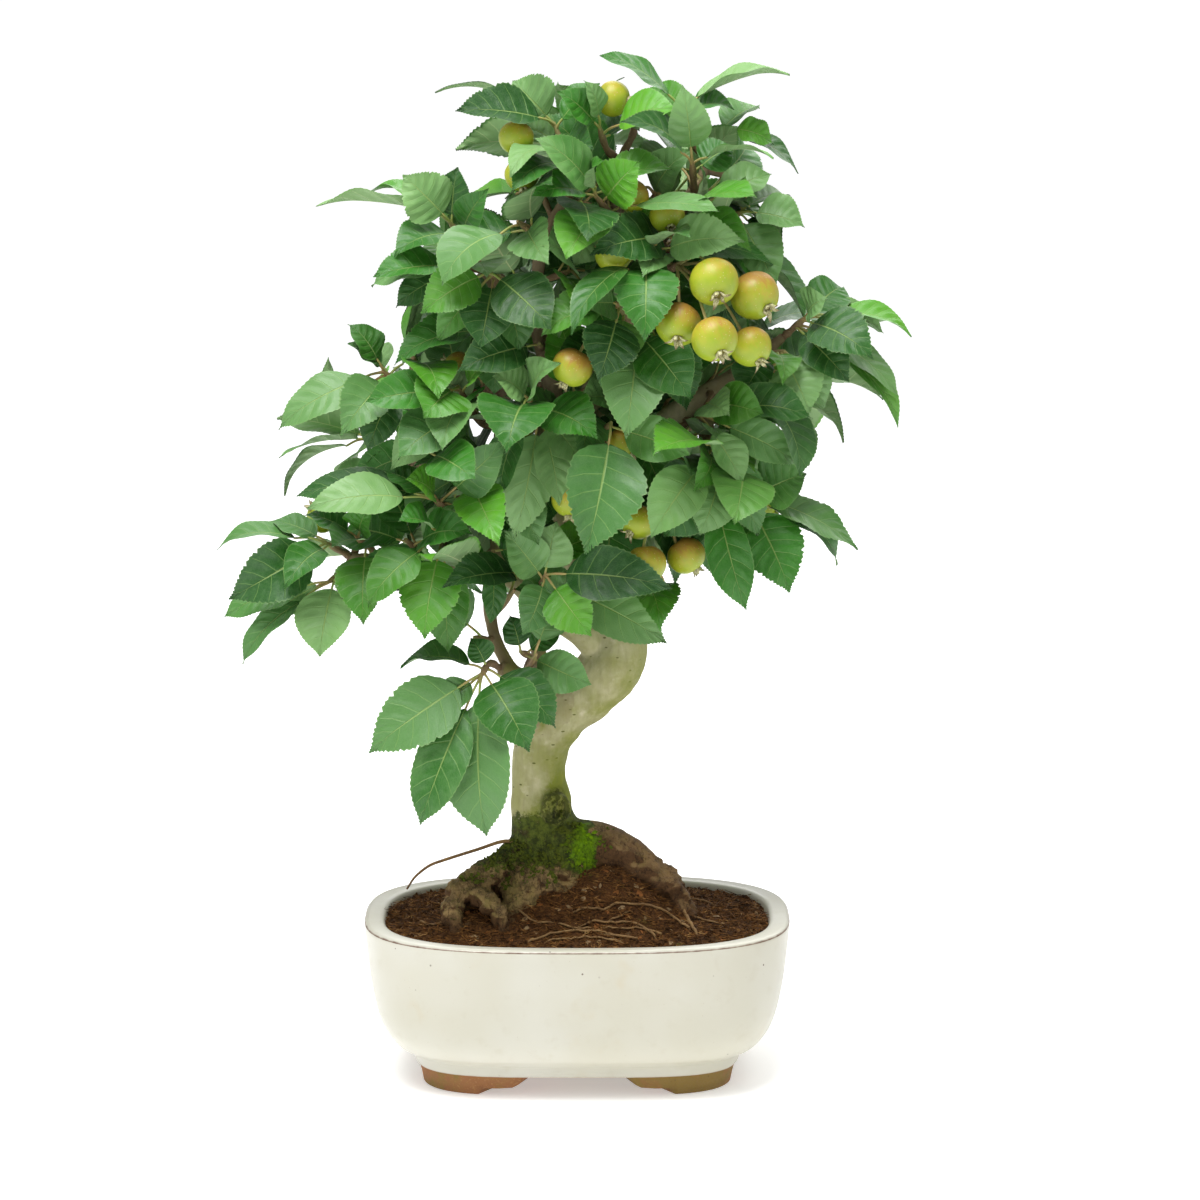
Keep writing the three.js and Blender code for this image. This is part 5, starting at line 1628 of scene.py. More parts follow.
def in_solid(leaf, corners):
    """Whether the tip of this leaf is a corner of the solid."""
    tip = blade_point(leaf, 1, 0) + leaf["up"] * LEAF_THICK / 2
    return corners.find(at(tip))[2] < 0.03 * MM


class Outline:
    """A coarse leaf for testing that no two blades cross."""

    ACROSS = [(0.1, 0.6), (0.34, 1), (0.66, 0.75), (0.84, 0.4)]

    def __init__(self, leaf):
        rib = [blade_point(leaf, a, 0) for a in (0, 0.34, 0.66, 1)]
        left = [blade_point(leaf, a, -w) for a, w in self.ACROSS]
        right = [blade_point(leaf, a, w) for a, w in self.ACROSS]
        corners = rib + left + right
        faces = []
        for edge in (left, right):
            o = 4 if edge is left else 8
            faces += [(0, 1, o), (o, 1, o + 1), (1, 2, o + 1), (o + 1, 2, o + 2),
                      (2, o + 3, o + 2), (2, 3, o + 3)]
        self.tree = BVHTree.FromPolygons(corners, faces)
        self.low = Vector(min(c[i] for c in corners) for i in range(3))
        self.high = Vector(max(c[i] for c in corners) for i in range(3))

    def crosses(self, other):
        if any(self.high[i] < other.low[i] or other.high[i] < self.low[i] for i in range(3)):
            return False
        return bool(self.tree.overlap(other.tree))


def fits(leaf):
    """Whether a leaf stays inside the box of the solids and clear of apples and wood."""
    outline = Outline(leaf)
    low, high = at(outline.low), at(outline.high)
    if any(low[i] < cad_low[i] or high[i] > cad_high[i] for i in range(3)):
        return None
    for _, _, apples in BUNCHES.values():
        for x, y, z, radius, *_ in apples:
            middle = Vector((x, y, z))
            if any(outline.low[i] > middle[i] + radius or outline.high[i] < middle[i] - radius
                   for i in range(3)):
                continue
            if (outline.tree.find_nearest(middle)[3] or 0) < radius + APPLE_CLEAR:
                return None
    if wood_tree.overlap(outline.tree):
        return None
    return outline


plans = {}  # for each shoot: its ends and its leaves' frames
outlines = []
tallies = {"found": 0, "missing": 0}
shoots = [(name, a, b, leaves, None) for name, (a, b, leaves) in SPRAYS.items()]
shoots += [(name, a, b, None, count) for name, (a, b, count) in BACK_SPRAYS.items()]
for index, (name, start, end, leaves, count) in enumerate(shoots):
    start, end = Vector(start), Vector(end)
    way = FRONT if count is None else Vector((start.x, start.y, 0)).normalized()
    if count is not None:
        leaves = fanned(start, end, index, count, count)
    corners = corners_of(f"leaves_{name}")
    plan = {"start": start, "end": end, "way": way, "leaves": []}
    for j, (place, x, y, z, width, share) in enumerate(leaves):
        root = start.lerp(end, 0.15 + 0.8 * place)
        for pose in POSES:
            leaf = leaf_frame(root, (x, y, z), width, facing_of(way, share), way,
                              draws(index, j), pose)
            if in_solid(leaf, corners):
                plan["leaves"].append(leaf)
                outlines.append(Outline(leaf))
                leaf["outline"] = outlines[-1]
                tallies["found"] += 1
                break
        else:
            tallies["missing"] += 1
            MORE.setdefault(name, []).append((place, x, y, z, width, share))
    plans[name] = plan
print("leaves of the solids:", tallies)


# %% Add the other leaves, each clear of the rest
def add_leaf(plan, place, tip, width, share, draw_from, poses):
    """Puts one more leaf on a shoot in the first pose that has room."""
    root = plan["start"].lerp(plan["end"], 0.15 + 0.8 * place)
    for pose in poses:
        leaf = leaf_frame(root, tip, width, facing_of(plan["way"], share), plan["way"],
                          draws(*draw_from), pose)
        outline = fits(leaf)
        if outline and not any(outline.crosses(other) for other in outlines):
            leaf["outline"] = outline
            plan["leaves"].append(leaf)
            outlines.append(outline)
            return True
    return False


wood_tree = BVHTree.FromPolygons(
    [(vertex.co - ORIGIN) / MM for vertex in skin.vertices],
    [tuple(face.vertices) for face in skin.polygons])
added = dropped = 0
for index, (name, plan) in enumerate(plans.items()):
    extra = list(MORE.get(name, []))
    if name in BACK_SPRAYS:
        count = BACK_SPRAYS[name][2]
        extra += fanned(plan["start"], plan["end"], index, count, count + 4)[count:]
    for j, (place, x, y, z, width, share) in enumerate(extra):
        if add_leaf(plan, place, (x, y, z), width, share, (300 + index, j), POSES):
            added += 1
        else:
            dropped += 1
print("leaves added:", added, "no room for:", dropped)

# %% [markdown]
# ## Inner shoots
#
# Behind its outer shoots the real crown is full of short spurs, so that little of the
# wood can be seen through it. They set off from the branches every centimetre or so and
# fan a handful of leaves each. A leaf is kept only where it crosses no other leaf, apple
# or branch, and where, seen from the front, it stays inside the outline that the crown
# is trimmed to.

# %% Fill the crown from the inside
# the crown's edge seen from the front, as x and z
CROWN = [
    (-37, 490), (-8, 495), (21, 500), (51, 488), (80, 483), (95, 463), (97, 439), (92, 414),
    (105, 390), (135, 375), (145, 360), (120, 340), (113, 320), (121, 290), (111, 260),
    (91, 270), (71, 275), (59, 245), (41, 255), (36, 227), (7, 230), (-13, 240), (-23, 245),
    (-38, 255), (-51, 240), (-73, 225), (-85, 250), (-98, 235), (-118, 230), (-138, 245),
    (-158, 245), (-167, 265), (-147, 280), (-137, 295), (-92, 305), (-102, 320), (-114, 340),
    (-107, 355), (-77, 370), (-72, 385), (-94, 400), (-87, 419), (-72, 439), (-47, 449),
    (-47, 473),
]


def in_crown(place):
    """Whether a place lies inside the crown's edge, seen from the front."""
    inside = False
    for (x1, z1), (x2, z2) in zip(CROWN, CROWN[1:] + CROWN[:1]):
        if (z1 > place.z) != (z2 > place.z):
            if place.x < x1 + (place.z - z1) * (x2 - x1) / (z2 - z1):
                inside = not inside
    return inside


INNER_STEP, INNER_LEAVES = 11, 6
inner_plans = {}
inner_count = 0
carriers = {"trunk_top": TRUNK[12:], **BRANCHES}
for index, (carrier, knots) in enumerate(carriers.items()):
    line = smooth_line([knot[:3] for knot in knots], 8)
    steps = np.linalg.norm(np.diff(line, axis=0), axis=1)
    travelled = np.concatenate([[0], np.cumsum(steps)])
    draw = draws(700 + index, 11)
    group = []
    for number, way_along in enumerate(np.arange(8, travelled[-1], INNER_STEP)):
        middle = Vector([np.interp(way_along, travelled, line[:, i]) for i in range(3)])
        ahead = Vector([np.interp(way_along + 3, travelled, line[:, i]) for i in range(3)])
        tangent = (ahead - middle).normalized()
        turn = 2.4 * number + 6 * next(draw)
        level = tangent.cross(Vector((0.1, 0, 1))).normalized()
        other = level.cross(tangent)
        outward_way = Vector((middle.x, middle.y - 6, 0)).normalized()
        aim = (level * math.cos(turn) + other * math.sin(turn) + tangent * 0.3
               + outward_way * 0.3 + UP * 0.15).normalized()
        start = middle + aim * 4
        end = start + aim * (8 + 18 * next(draw))
        plan = {"start": start, "end": end, "leaves": [],
                "way": (Vector((aim.x, aim.y, 0)) + FRONT * 0.5).normalized()}
        leaves = fanned(start, end, 40 * index + number, INNER_LEAVES, INNER_LEAVES)
        for j, (place, x, y, z, width, share) in enumerate(leaves):
            root = start.lerp(end, place)
            tip = root + (Vector((x, y, z)) - root) * (0.72 + 0.3 * next(draw))
            if in_crown(tip) and in_crown(root.lerp(tip, 0.5)):
                inner_count += add_leaf(plan, place, tip, width * 1.1, share,
                                        (800 + index, 7 * number + j), POSES[:9])
        if plan["leaves"]:
            group.append(plan)
    if group:
        inner_plans[carrier] = group
print("inner shoots:", sum(map(len, inner_plans.values())), "leaves:", inner_count)

# %% Let every leaf grow into the room it has
GROWTH = [(1.22, 0.13), (1.12, 0.08), (1.05, 0.04)]  # wider by, longer by
grown_leaves = 0
every_shoot = [*plans.values(), *(plan for group in inner_plans.values() for plan in group)]
for plan in every_shoot:
    for leaf in plan["leaves"]:
        own = leaf.pop("outline")
        for wider, longer in GROWTH:
            larger = {**leaf, "half": leaf["half"] * wider,
                      "base": leaf["base"] - leaf["axis"] * leaf["blade"] * longer,
                      "blade": leaf["blade"] * (1 + longer)}
            outline = fits(larger)
            if outline and not any(outline.crosses(o) for o in outlines if o is not own):
                leaf.update(larger)
                outlines[outlines.index(own)] = outline
                grown_leaves += 1
                break
print("leaves that grew:", grown_leaves, "of", len(outlines))


# %% The flat pattern leaves
# Rows run from the rib out along the veins; each ends in one side of a tooth. A corner
# is told by two numbers: how far along the rib its row starts, and how far out on the
# row it lies. The under face repeats the upper one, and both meet at the edge.
ROWS = 42
COLUMNS = (0.55, 1.0)
VEINS = 7.0  # on each side of the rib
WIDTH_OVATE = [(0, 0.0), (0.03, 0.28), (0.1, 0.6), (0.2, 0.87), (0.3, 0.98), (0.38, 1.0),
               (0.5, 0.96), (0.6, 0.87), (0.7, 0.72), (0.8, 0.51), (0.88, 0.29),
               (0.94, 0.11), (1.0, 0.0)]
WIDTH_ROUND = [(0, 0.0), (0.03, 0.2), (0.1, 0.47), (0.2, 0.76), (0.3, 0.92), (0.42, 1.0),
               (0.55, 0.98), (0.66, 0.89), (0.76, 0.72), (0.85, 0.48), (0.92, 0.22),
               (0.96, 0.09), (1.0, 0.0)]


def width_curve(knots):
    line = smooth_line([(a, w) for a, w in knots], 8)
    return lambda along: float(np.interp(along, line[:, 0], line[:, 1]))


def pattern_leaf(name, knots, tooth, notch):
    """A flat leaf of unit length and unit half width, as a closed mesh."""
    width = width_curve(knots)
    corners, seen, uv, faces = [], [], [], []

    def put(row, out, sign, face):
        start = row / ROWS
        edge = start + 0.19 * math.sin(math.pi * start) ** 0.9
        along = start + (edge - start) * out ** 1.3
        wide = width(edge) * out
        if 0 < row < ROWS:
            bite = tooth * out ** 6
            peak = row % 2 == (0 if sign > 0 else 1)
            wide += bite * (0.5 if peak else -0.5)
            along += bite * (0.2 if peak else 0)
            if notch and row % 6 == (3 if sign > 0 else 0):
                wide -= notch * out ** 4 * max(0, 1 - abs(start - 0.4) * 2.2)
        corners.append((along, sign * wide, 0))
        seen.append((out * sign, start, face))
        uv.append((0.5 + 0.5 * out * sign, start))
        return len(corners) - 1

    rib = {1: [], -1: []}
    grid = {}
    for face in (1, -1):
        for row in range(ROWS + 1):
            shared = row in (0, ROWS)
            if shared and face == -1:
                rib[-1].append(rib[1][row])
            else:
                rib[face].append(put(row, 0, 1, 0 if shared else face))
        for sign in (1, -1):
            for row in range(1, ROWS):
                for column, out in enumerate(COLUMNS):
                    last = column == len(COLUMNS) - 1
                    if last and face == -1:
                        grid[face, sign, row, column] = grid[1, sign, row, column]
                    else:
                        grid[face, sign, row, column] = put(row, out, sign, 0 if last else face)
        for sign in (1, -1):
            for row in range(ROWS):
                near = [rib[face][row]] + [
                    grid.get((face, sign, row, c), rib[face][row]) for c in range(len(COLUMNS))]
                far = [rib[face][row + 1]] + [
                    grid.get((face, sign, row + 1, c), rib[face][row + 1])
                    for c in range(len(COLUMNS))]
                for c in range(len(COLUMNS)):
                    # both skins are cut along the same diagonals, so they never cross
                    for ids in ((near[c], far[c], far[c + 1]),
                                (near[c], far[c + 1], near[c + 1])):
                        if len(set(ids)) == 3:
                            faces.append(ids if sign * face < 0 else ids[::-1])
    mesh = new_mesh(name, corners, faces)
    # a crisp edge: the upper skin's shading isn't blended into the lower one's
    crisp = mesh.attributes.new("sharp_edge", "BOOLEAN", "EDGE")
    crisp.data.foreach_set("value", [
        all(abs(seen[corner][0]) == 1 for corner in edge.vertices) for edge in mesh.edges])
    for index, label in enumerate(("out", "along_rib", "face")):
        carry(mesh, label, [numbers[index] for numbers in seen])
    layer = mesh.uv_layers.new(name="vein_map")
    for loop in mesh.loops:
        layer.data[loop.index].uv = uv[loop.vertex_index]
    return bpy.data.objects.new(name, mesh)


shapes = bpy.data.collections.new("pattern_leaves")
for shape in (pattern_leaf("a_ovate", WIDTH_OVATE, 0.034, 0),
              pattern_leaf("b_round", WIDTH_ROUND, 0.028, 0),
              pattern_leaf("c_notched", WIDTH_OVATE, 0.038, 0.075)):
    shapes.objects.link(shape)
    shape.data.calc_loop_triangles()
    print(shape.name, len(shape.data.loop_triangles), "triangles")

# %% [markdown]
# ## The tree of nodes that bends the leaves
#
# Each leaf arrives as one point that carries its directions and sizes. The copy set on
# it inherits them, so after the copies are made real, every corner knows both its place
# on the pattern and its leaf's numbers. One sum then gives its place in the world: along
# the rib, out to the side, and up by the arch, the fold, a ripple of the edge, the
# pillows between the veins and half the blade's thickness. Stalks and shoots arrive as
# lines in the same mesh and become bars.

# %% Bend leaves and thicken stalks
graph, given = new_tree("leafy_shoot", leaves="collection", thickness="float",
                        pillow="float", stalk_sides="int", blade_material="material",
                        stalk_material="material")


is_leaf = exceeds(read("blade"), 0.0001)
split = graph.node("GeometryNodeSeparateGeometry", {"domain": "POINT"}, {
    "Geometry": given["geometry"], "Selection": is_leaf}, output=None)
leaf_points = Value(graph, split.outputs["Selection"])
patterns = graph.node("GeometryNodeCollectionInfo", inputs={
    "Collection": given["leaves"], "Separate Children": True, "Reset Children": True})
blades = graph.node("GeometryNodeInstanceOnPoints", inputs={
    "Points": leaf_points, "Instance": patterns, "Pick Instance": True,
    "Instance Index": read("shape", "INT")})
blades = graph.node("GeometryNodeRealizeInstances", inputs={"Geometry": blades})
# the pattern's own place is read before anything moves, in the leaf's own lengths
blade, half = read("blade"), read("half")
out, along_rib, face = read("out"), read("along_rib"), read("face")
along, wide, _ = parted(graph, read("flat", "FLOAT_VECTOR"))
away = wide.maths("ABSOLUTE")
out_far = out.maths("ABSOLUTE")
reach_out = away * half
inner = along * (1.0 - along)
arch = read("arch") * 4.0 * blade * inner
cupped = reach_out * read("fold").maths("SINE")
side_step = wide * half * read("fold").maths("COSINE")
ripple = ((along * 13.0 + read("phase") + out * 1.3).maths("SINE")
          * out_far * out_far * read("ripple"))
between = (along_rib * VEINS * math.tau).maths("COSINE") * (out_far * (1.0 - out_far))
pillows = between * given["pillow"] * 4.0
tip_part = (along - 0.62).maths("MAXIMUM", 0.0)
droop = tip_part * tip_part * blade * read("droop")
edge_thin = (out_far * out_far) * -0.75 + 1.0
skin_step = face * given["thickness"] * 0.5 * edge_thin
lifted = arch + cupped + ripple + pillows - droop + skin_step
bent = (read("base", "FLOAT_VECTOR") + read("axis", "FLOAT_VECTOR") * (along * blade)
        + read("side", "FLOAT_VECTOR") * side_step + read("up", "FLOAT_VECTOR") * lifted)
blades = graph.node("GeometryNodeSetPosition", inputs={"Geometry": blades, "Position": bent})
leafy_shoot = stalks_and_copies(graph, given, split, blades, is_leaf, given["blade_material"])
for shape in shapes.objects:
    carry(shape.data, "flat", [vertex.co for vertex in shape.data.vertices])


# %% [markdown]
# ## The look of a leaf
#
# The upper face is a deep satin green with a cool sheen, and the veins are paler and
# lie in narrow furrows. The under face is pale and matt, with the veins standing out.
# The pattern's own coordinates make this easy: the veins are lines of one value of the
# second coordinate, and the rib is the middle of the first. Each leaf carries a number
# that says how young it is, so that fresh leaves at the tips are brighter; the same
# number also paints in backlight shining through the leaf.

# %% Blade material
leaf_green, graph, place = new_material("leaf_blade")
uv = graph.node("ShaderNodeUVMap", {"uv_map": "vein_map"})
across, along_rib, _ = parted(graph, uv)
out = across * 2.0 - 1.0
out_far = out.maths("ABSOLUTE")
young_and_backlit, tint = named(graph, "young_and_backlit"), named(graph, "tint")
under = shade(named(graph, "face"), -0.05, -0.3)
tone = cloud(graph, place, 18, 3, 0.6)
mottle = cloud(graph, place, 3.2, 4, 0.6)
# one side's veins leave the rib half a step after the other's
step = along_rib * VEINS + shade(out, -0.01, 0.01) * 0.5
wave = (step.maths("FRACT") - 0.5).maths("ABSOLUTE")
vein_width = out_far * -0.04 + 0.07
vein = shade(wave / vein_width, 0.2, 1.0, 1, 0) * shade(out_far, 0.8, 1.0, 1, 0.1)
rib_line = shade(out_far, 0.012, 0.042, 1, 0)
# the fine net between the veins
net_place = graph.node("ShaderNodeCombineXYZ", inputs={0: out * 0.012, 1: along_rib * 0.05, 2: 0.0})
net = shade(cells(graph, net_place, 1.1, "DISTANCE_TO_EDGE"), 0.0, 0.12, 1, 0)
# some leaves are grey with dust and painted sheen and some clean, whatever their depth of green
dust_and_sheen = (tint * 7.31).maths("FRACT")
deep = mixed(tint, colour(18, 70, 12), colour(46, 118, 14))
grey_of_dust_and_sheen = mixed(tint, colour(60, 114, 46), colour(126, 168, 100))
upper = mixed(shade(dust_and_sheen + tone * 0.5, 0.58, 1.0), deep, grey_of_dust_and_sheen)
# fresh leaves are a brighter yellow-green, partly painted backlight shining through them
backlit_fresh_green = mixed(tone, colour(50, 138, 12), colour(104, 164, 30))
upper = mixed(shade(young_and_backlit, 0.15, 0.85), upper, backlit_fresh_green)
# pale patches of bloom, partly painted sheen
upper = mixed(shade(mottle, 0.4, 0.75) * 0.18, upper, colour(104, 146, 88))
upper = mixed(net * 0.1, upper, colour(116, 162, 84))
upper = mixed(vein * 0.32, upper, colour(140, 178, 96))
upper = mixed(rib_line * 0.6, upper, colour(158, 186, 102))
edge_line = shade(out_far, 0.95, 1.0) * 0.35
upper = mixed(edge_line, upper, colour(140, 172, 104))
pale = mixed(tone, colour(112, 150, 96), colour(146, 178, 120))
pale = mixed(vein * 0.55, pale, colour(180, 200, 142))
pale = mixed(rib_line * 0.8, pale, colour(190, 204, 148))
base = mixed(under, upper, pale)
relief = (vein * -0.6 - rib_line * 1.0) * shade(under, 0, 1, 1, -1) + mottle * 0.4 + net * -0.15
finish_material(graph, base, shade(mottle, 0.3, 0.75, 0.38, 0.5) + under * 0.22, relief, 0.2,
                {"Specular IOR Level": 0.5, "Sheen Weight": 0.05, "Sheen Roughness": 0.4})

# %% Stalk material
stalk_skin, graph, place = new_material("leaf_stalk")
woody = named(graph, "woody")
tone = cloud(graph, place, 9, 3, 0.6)
streak = cloud(graph, place, 1.2, 3, 0.6)
green = mixed(shade(tone, 0.35, 0.65), colour(150, 172, 82), colour(176, 150, 96))
brown = mixed(streak, colour(92, 66, 50), colour(138, 112, 82))
dots = shade(cells(graph, place, 1.6), 0.12, 0.24, 1, 0)
brown = mixed(dots * 0.6, brown, colour(172, 150, 116))
base = mixed(woody, green, brown)
finish_material(graph, base, shade(streak, 0.3, 0.7, 0.45, 0.65) + woody * 0.15,
                streak + dots * 0.5, 0.12)

# %% Dress every leafy shoot
SHELTERED = 235  # leaves lower than this are darker and seldom fresh
seat_samples = [(sample, sample[3]) for line in limb_lines for sample in line]
seats = KDTree(len(seat_samples))
for index, (sample, _) in enumerate(seat_samples):
    seats.insert(sample[:3], index)
seats.balance()


def twig_seat(place):
    """The middle of the wood that a shoot sets off from."""
    found = seats.find_n(place, 60)
    best = min(found, key=lambda hit: hit[2] - seat_samples[hit[1]][1])
    return Vector(seat_samples[best[1]][0][:3])


def shoots_mesh(shoot_plans, seed):
    """The points and lines that leafy shoots are grown from."""
    draw = draws(500 + seed, 3)
    corners, edges = [], []
    numbers = {name: [] for name in (
        "blade", "half", "arch", "fold", "ripple", "droop", "phase", "young_and_backlit", "tint",
        "radius", "woody")}
    ways = {name: [] for name in ("base", "axis", "side", "up")}
    shapes_used = []

    def put(place, frame_of=None, **given):
        corners.append(at(place))
        for name, kept in numbers.items():
            kept.append(given.get(name, 0.0))
        for name, kept in ways.items():
            kept.append(frame_of[name] if frame_of else (0, 0, 0))
        shapes_used.append(given.get("shape", 0))

    def line(points, radii, woody):
        for i, (point, radius, wood) in enumerate(zip(points, radii, woody)):
            put(point, radius=radius * MM, woody=wood)
            if i:
                edges.append((len(corners) - 2, len(corners) - 1))

    for plan in shoot_plans:
        stem = smooth_line([twig_seat(plan["start"]), plan["start"], plan["end"]], 6)
        thick = np.interp(np.linspace(0, 1, len(stem)), [0, 0.5, 0.9, 1], [2.0, 1.9, 1.5, 0.9])
        rings = [1 + 0.16 * math.sin(5.1 * i) for i in range(len(stem))]
        line(stem, thick * rings,
             np.interp(np.linspace(0, 1, len(stem)), [0, 0.8, 1], [1, 0.9, 0.6]))
        for leaf in plan["leaves"]:
            lobed = leaf["half"] > 12.5 and next(draw) > 0.45
            choice = 2 if lobed else (1 if next(draw) > 0.5 else 0)
            sheltered = leaf["base"].z < SHELTERED
            # how fresh a leaf is, which also sets how much painted backlight it shows
            fresh_and_backlit = max(0, min(1, next(draw) * 2.4 - 1.5)) * (0.35 if sheltered else 1)
            put(leaf["base"], {
                "base": at(leaf["base"]), "axis": leaf["axis"], "side": leaf["side"],
                "up": leaf["up"]}, blade=leaf["blade"] * MM, half=leaf["half"] * MM,
                arch=leaf["arch"], fold=leaf["fold"], ripple=(0.3 + 0.8 * next(draw)) * MM,
                droop=0.1 + 0.5 * next(draw), phase=next(draw) * 6, young_and_backlit=fresh_and_backlit,
                tint=next(draw) * (0.55 if sheltered else 1), shape=choice)
            foot = leaf["root"]
            bow = foot.lerp(leaf["base"], 0.5) + leaf["up"] * 0.09 * (leaf["base"] - foot).length
            into = leaf["base"] + leaf["axis"] * leaf["blade"] * 0.03
            stalk = smooth_line([foot, bow, leaf["base"], into], 3)
            share = np.linspace(0, 1, len(stalk))
            thick = np.interp(share, [0, 0.15, 0.7, 1], [1.05, 0.66, 0.6, 0.25])
            line(stalk, thick, np.interp(share, [0, 0.25, 1], [0.5, 0.12, 0]))
    mesh = lines_from("shoots", corners, edges)
    for name, kept in {**numbers, **ways}.items():
        carry(mesh, name, kept)
    layer = mesh.attributes.new("shape", "INT", "POINT")
    layer.data.foreach_set("value", shapes_used)
    return mesh


WORK_NAMES = ("blade", "half", "arch", "fold", "ripple", "droop", "phase", "radius",
              "base", "axis", "side", "up", "shape", "flat", "out", "along_rib")
pieces = {f"leaves_{name}_fine": ([plan], [f"leaves_{name}"]) for name, plan in plans.items()}
pieces.update({f"inner_leaves_{name}": (group, []) for name, group in inner_plans.items()})
for seed, (name, (shoot_plans, nodes)) in enumerate(pieces.items()):
    mesh = grown(name, shoots_mesh(shoot_plans, seed), leafy_shoot, leaves=shapes,
                 thickness=0.34 * MM, pillow=0.32 * MM, stalk_sides=6,
                 blade_material=leaf_green, stalk_material=stalk_skin)
    drop(mesh, WORK_NAMES)
    add_piece(name, mesh, nodes)


# %% [markdown]
# ## Fruit
#
# A crabapple is a small apple on a long stalk. It is a little wider than high, with a
# narrow dimple where the stalk goes in. At the far end the sepals of the flower stay
# on, dried and drawn together into a little crown in a shallow basin. One apple of unit
# size is made, and Geometry Nodes set a copy for every apple of a bunch, turned along
# its own axis, with a spin and a slight unevenness of its own.

# %% The pattern apple
APPLE_AROUND, APPLE_RINGS = 36, 24


def pattern_apple():
    """An apple of radius 1 with its eye towards +z, and the five sepals round the eye."""
    corners, sepal, rings = [], [], []
    for ring in range(APPLE_RINGS + 1):
        turn = math.pi * ring / APPLE_RINGS
        wide, high = math.sin(turn), -0.93 * math.cos(turn)
        high += 0.34 * math.exp(-(wide / 0.2) ** 2) * (ring < APPLE_RINGS / 2)
        high -= 0.13 * math.exp(-(wide / 0.26) ** 2) * (ring > APPLE_RINGS / 2)
        wide *= 1 + 0.03 * math.cos(turn)
        pole = ring in (0, APPLE_RINGS)
        rings.append([])
        for step in range(1 if pole else APPLE_AROUND):
            angle = math.tau * step / APPLE_AROUND
            ribs = 1 + 0.018 * math.cos(5 * angle) * max(0, high) ** 2
            rings[-1].append(len(corners))
            corners.append((wide * ribs * math.cos(angle), wide * ribs * math.sin(angle), high))
            sepal.append(0)
    faces = ring_faces(rings, APPLE_AROUND)
    # a sepal: out from the basin, up, and its tip bent outwards
    stations = [(0.06, 0.64, 0.13, 0.06), (0.2, 0.84, 0.15, 0.055), (0.23, 0.98, 0.125, 0.05),
                (0.29, 1.1, 0.085, 0.045), (0.42, 1.17, 0.02, 0.02)]
    for leaf in range(5):
        angle = math.tau * (leaf + 0.2 * (leaf % 2)) / 5
        lean = 1 + 0.35 * math.sin(3.7 * leaf + 1)
        outward_way = Vector((math.cos(angle), math.sin(angle), 0))
        sideways = Vector((-math.sin(angle), math.cos(angle), 0))
        first = len(corners)
        for index, (out_by, high, half, thick) in enumerate(stations):
            middle = outward_way * out_by * (lean if index > 2 else 1) + Vector((0, 0, high))
            for across, deep in ((-half, 0), (0, thick), (half, 0), (0, -thick)):
                outer = deep - 0.3 * abs(across)
                corners.append(middle + sideways * across + outward_way * outer)
                sepal.append(1)
        for row in range(len(stations) - 1):
            for k in range(4):
                m = (k + 1) % 4
                base = first + 4 * row
                faces.append([base + k, base + m, base + 4 + m, base + 4 + k])
        faces.append([first + k for k in range(4)])
        faces.append([first + 4 * (len(stations) - 1) + k for k in range(4)])
    mesh = new_mesh("apple", corners, faces)
    outward(mesh)
    carry(mesh, "sepal", sepal)
    carry(mesh, "own_place", corners)
    return mesh


apple = bpy.data.objects.new("pattern_apple", pattern_apple())
apple.data.calc_loop_triangles()
print("an apple:", len(apple.data.loop_triangles), "triangles")

# %% The tree of nodes that makes a bunch
graph, given = new_tree("bunch", apple="object", unevenness="float", stalk_sides="int",
                        skin_material="material", stalk_material="material")
is_apple = exceeds(read("size"), 0.0001)
split = graph.node("GeometryNodeSeparateGeometry", {"domain": "POINT"}, {
    "Geometry": given["geometry"], "Selection": is_apple}, output=None)
turn = graph.node("FunctionNodeEulerToRotation", inputs={
    0: graph.node("ShaderNodeCombineXYZ", inputs={2: read("phase")})})
turn = graph.node("FunctionNodeAlignRotationToVector", {"axis": "Z"}, {
    "Rotation": turn, "Vector": read("eye", "FLOAT_VECTOR")})
copies = graph.node("GeometryNodeInstanceOnPoints", inputs={
    "Points": Value(graph, split.outputs["Selection"]),
    "Instance": graph.node(
        "GeometryNodeObjectInfo", inputs={"Object": given["apple"]}, output="Geometry"),
    "Rotation": turn, "Scale": read("size")})
copies = graph.node("GeometryNodeRealizeInstances", inputs={"Geometry": copies})
here = graph.node("GeometryNodeInputPosition")
lumps = graph.node("ShaderNodeTexNoise", inputs={
    "Vector": here, "Scale": 95.0, "Detail": 1.0})
normal = graph.node("GeometryNodeInputNormal")
swelling = (lumps - 0.5) * read("size") * given["unevenness"] * (1.0 - read("sepal"))
copies = graph.node("GeometryNodeSetPosition", inputs={
    "Geometry": copies, "Offset": normal * swelling})
to_right, _, upwards = parted(graph, normal)
sky = upwards * 0.5 + to_right * 0.2
copies = graph.node("GeometryNodeStoreNamedAttribute", {"data_type": "FLOAT", "domain": "POINT"}, {
    "Geometry": copies, "Name": "sky", "Value": sky})
bunch_tree = stalks_and_copies(graph, given, split, copies, is_apple, given["skin_material"])

# %% [markdown]
# ## The skin of a crabapple
#
# Ripening fruit is yellow-green, and turns orange to red on the side that the sun
# reaches, in fine streaks that run from stalk to eye. Pale dots cover it, the dimple is
# green and slightly russet, and the sepals are dry and brown with woolly pale edges. A
# thin wax coat makes it shine. The copy's own coordinates hold the streaks to each
# apple's axis, and its phase number gives every apple its own share of red.

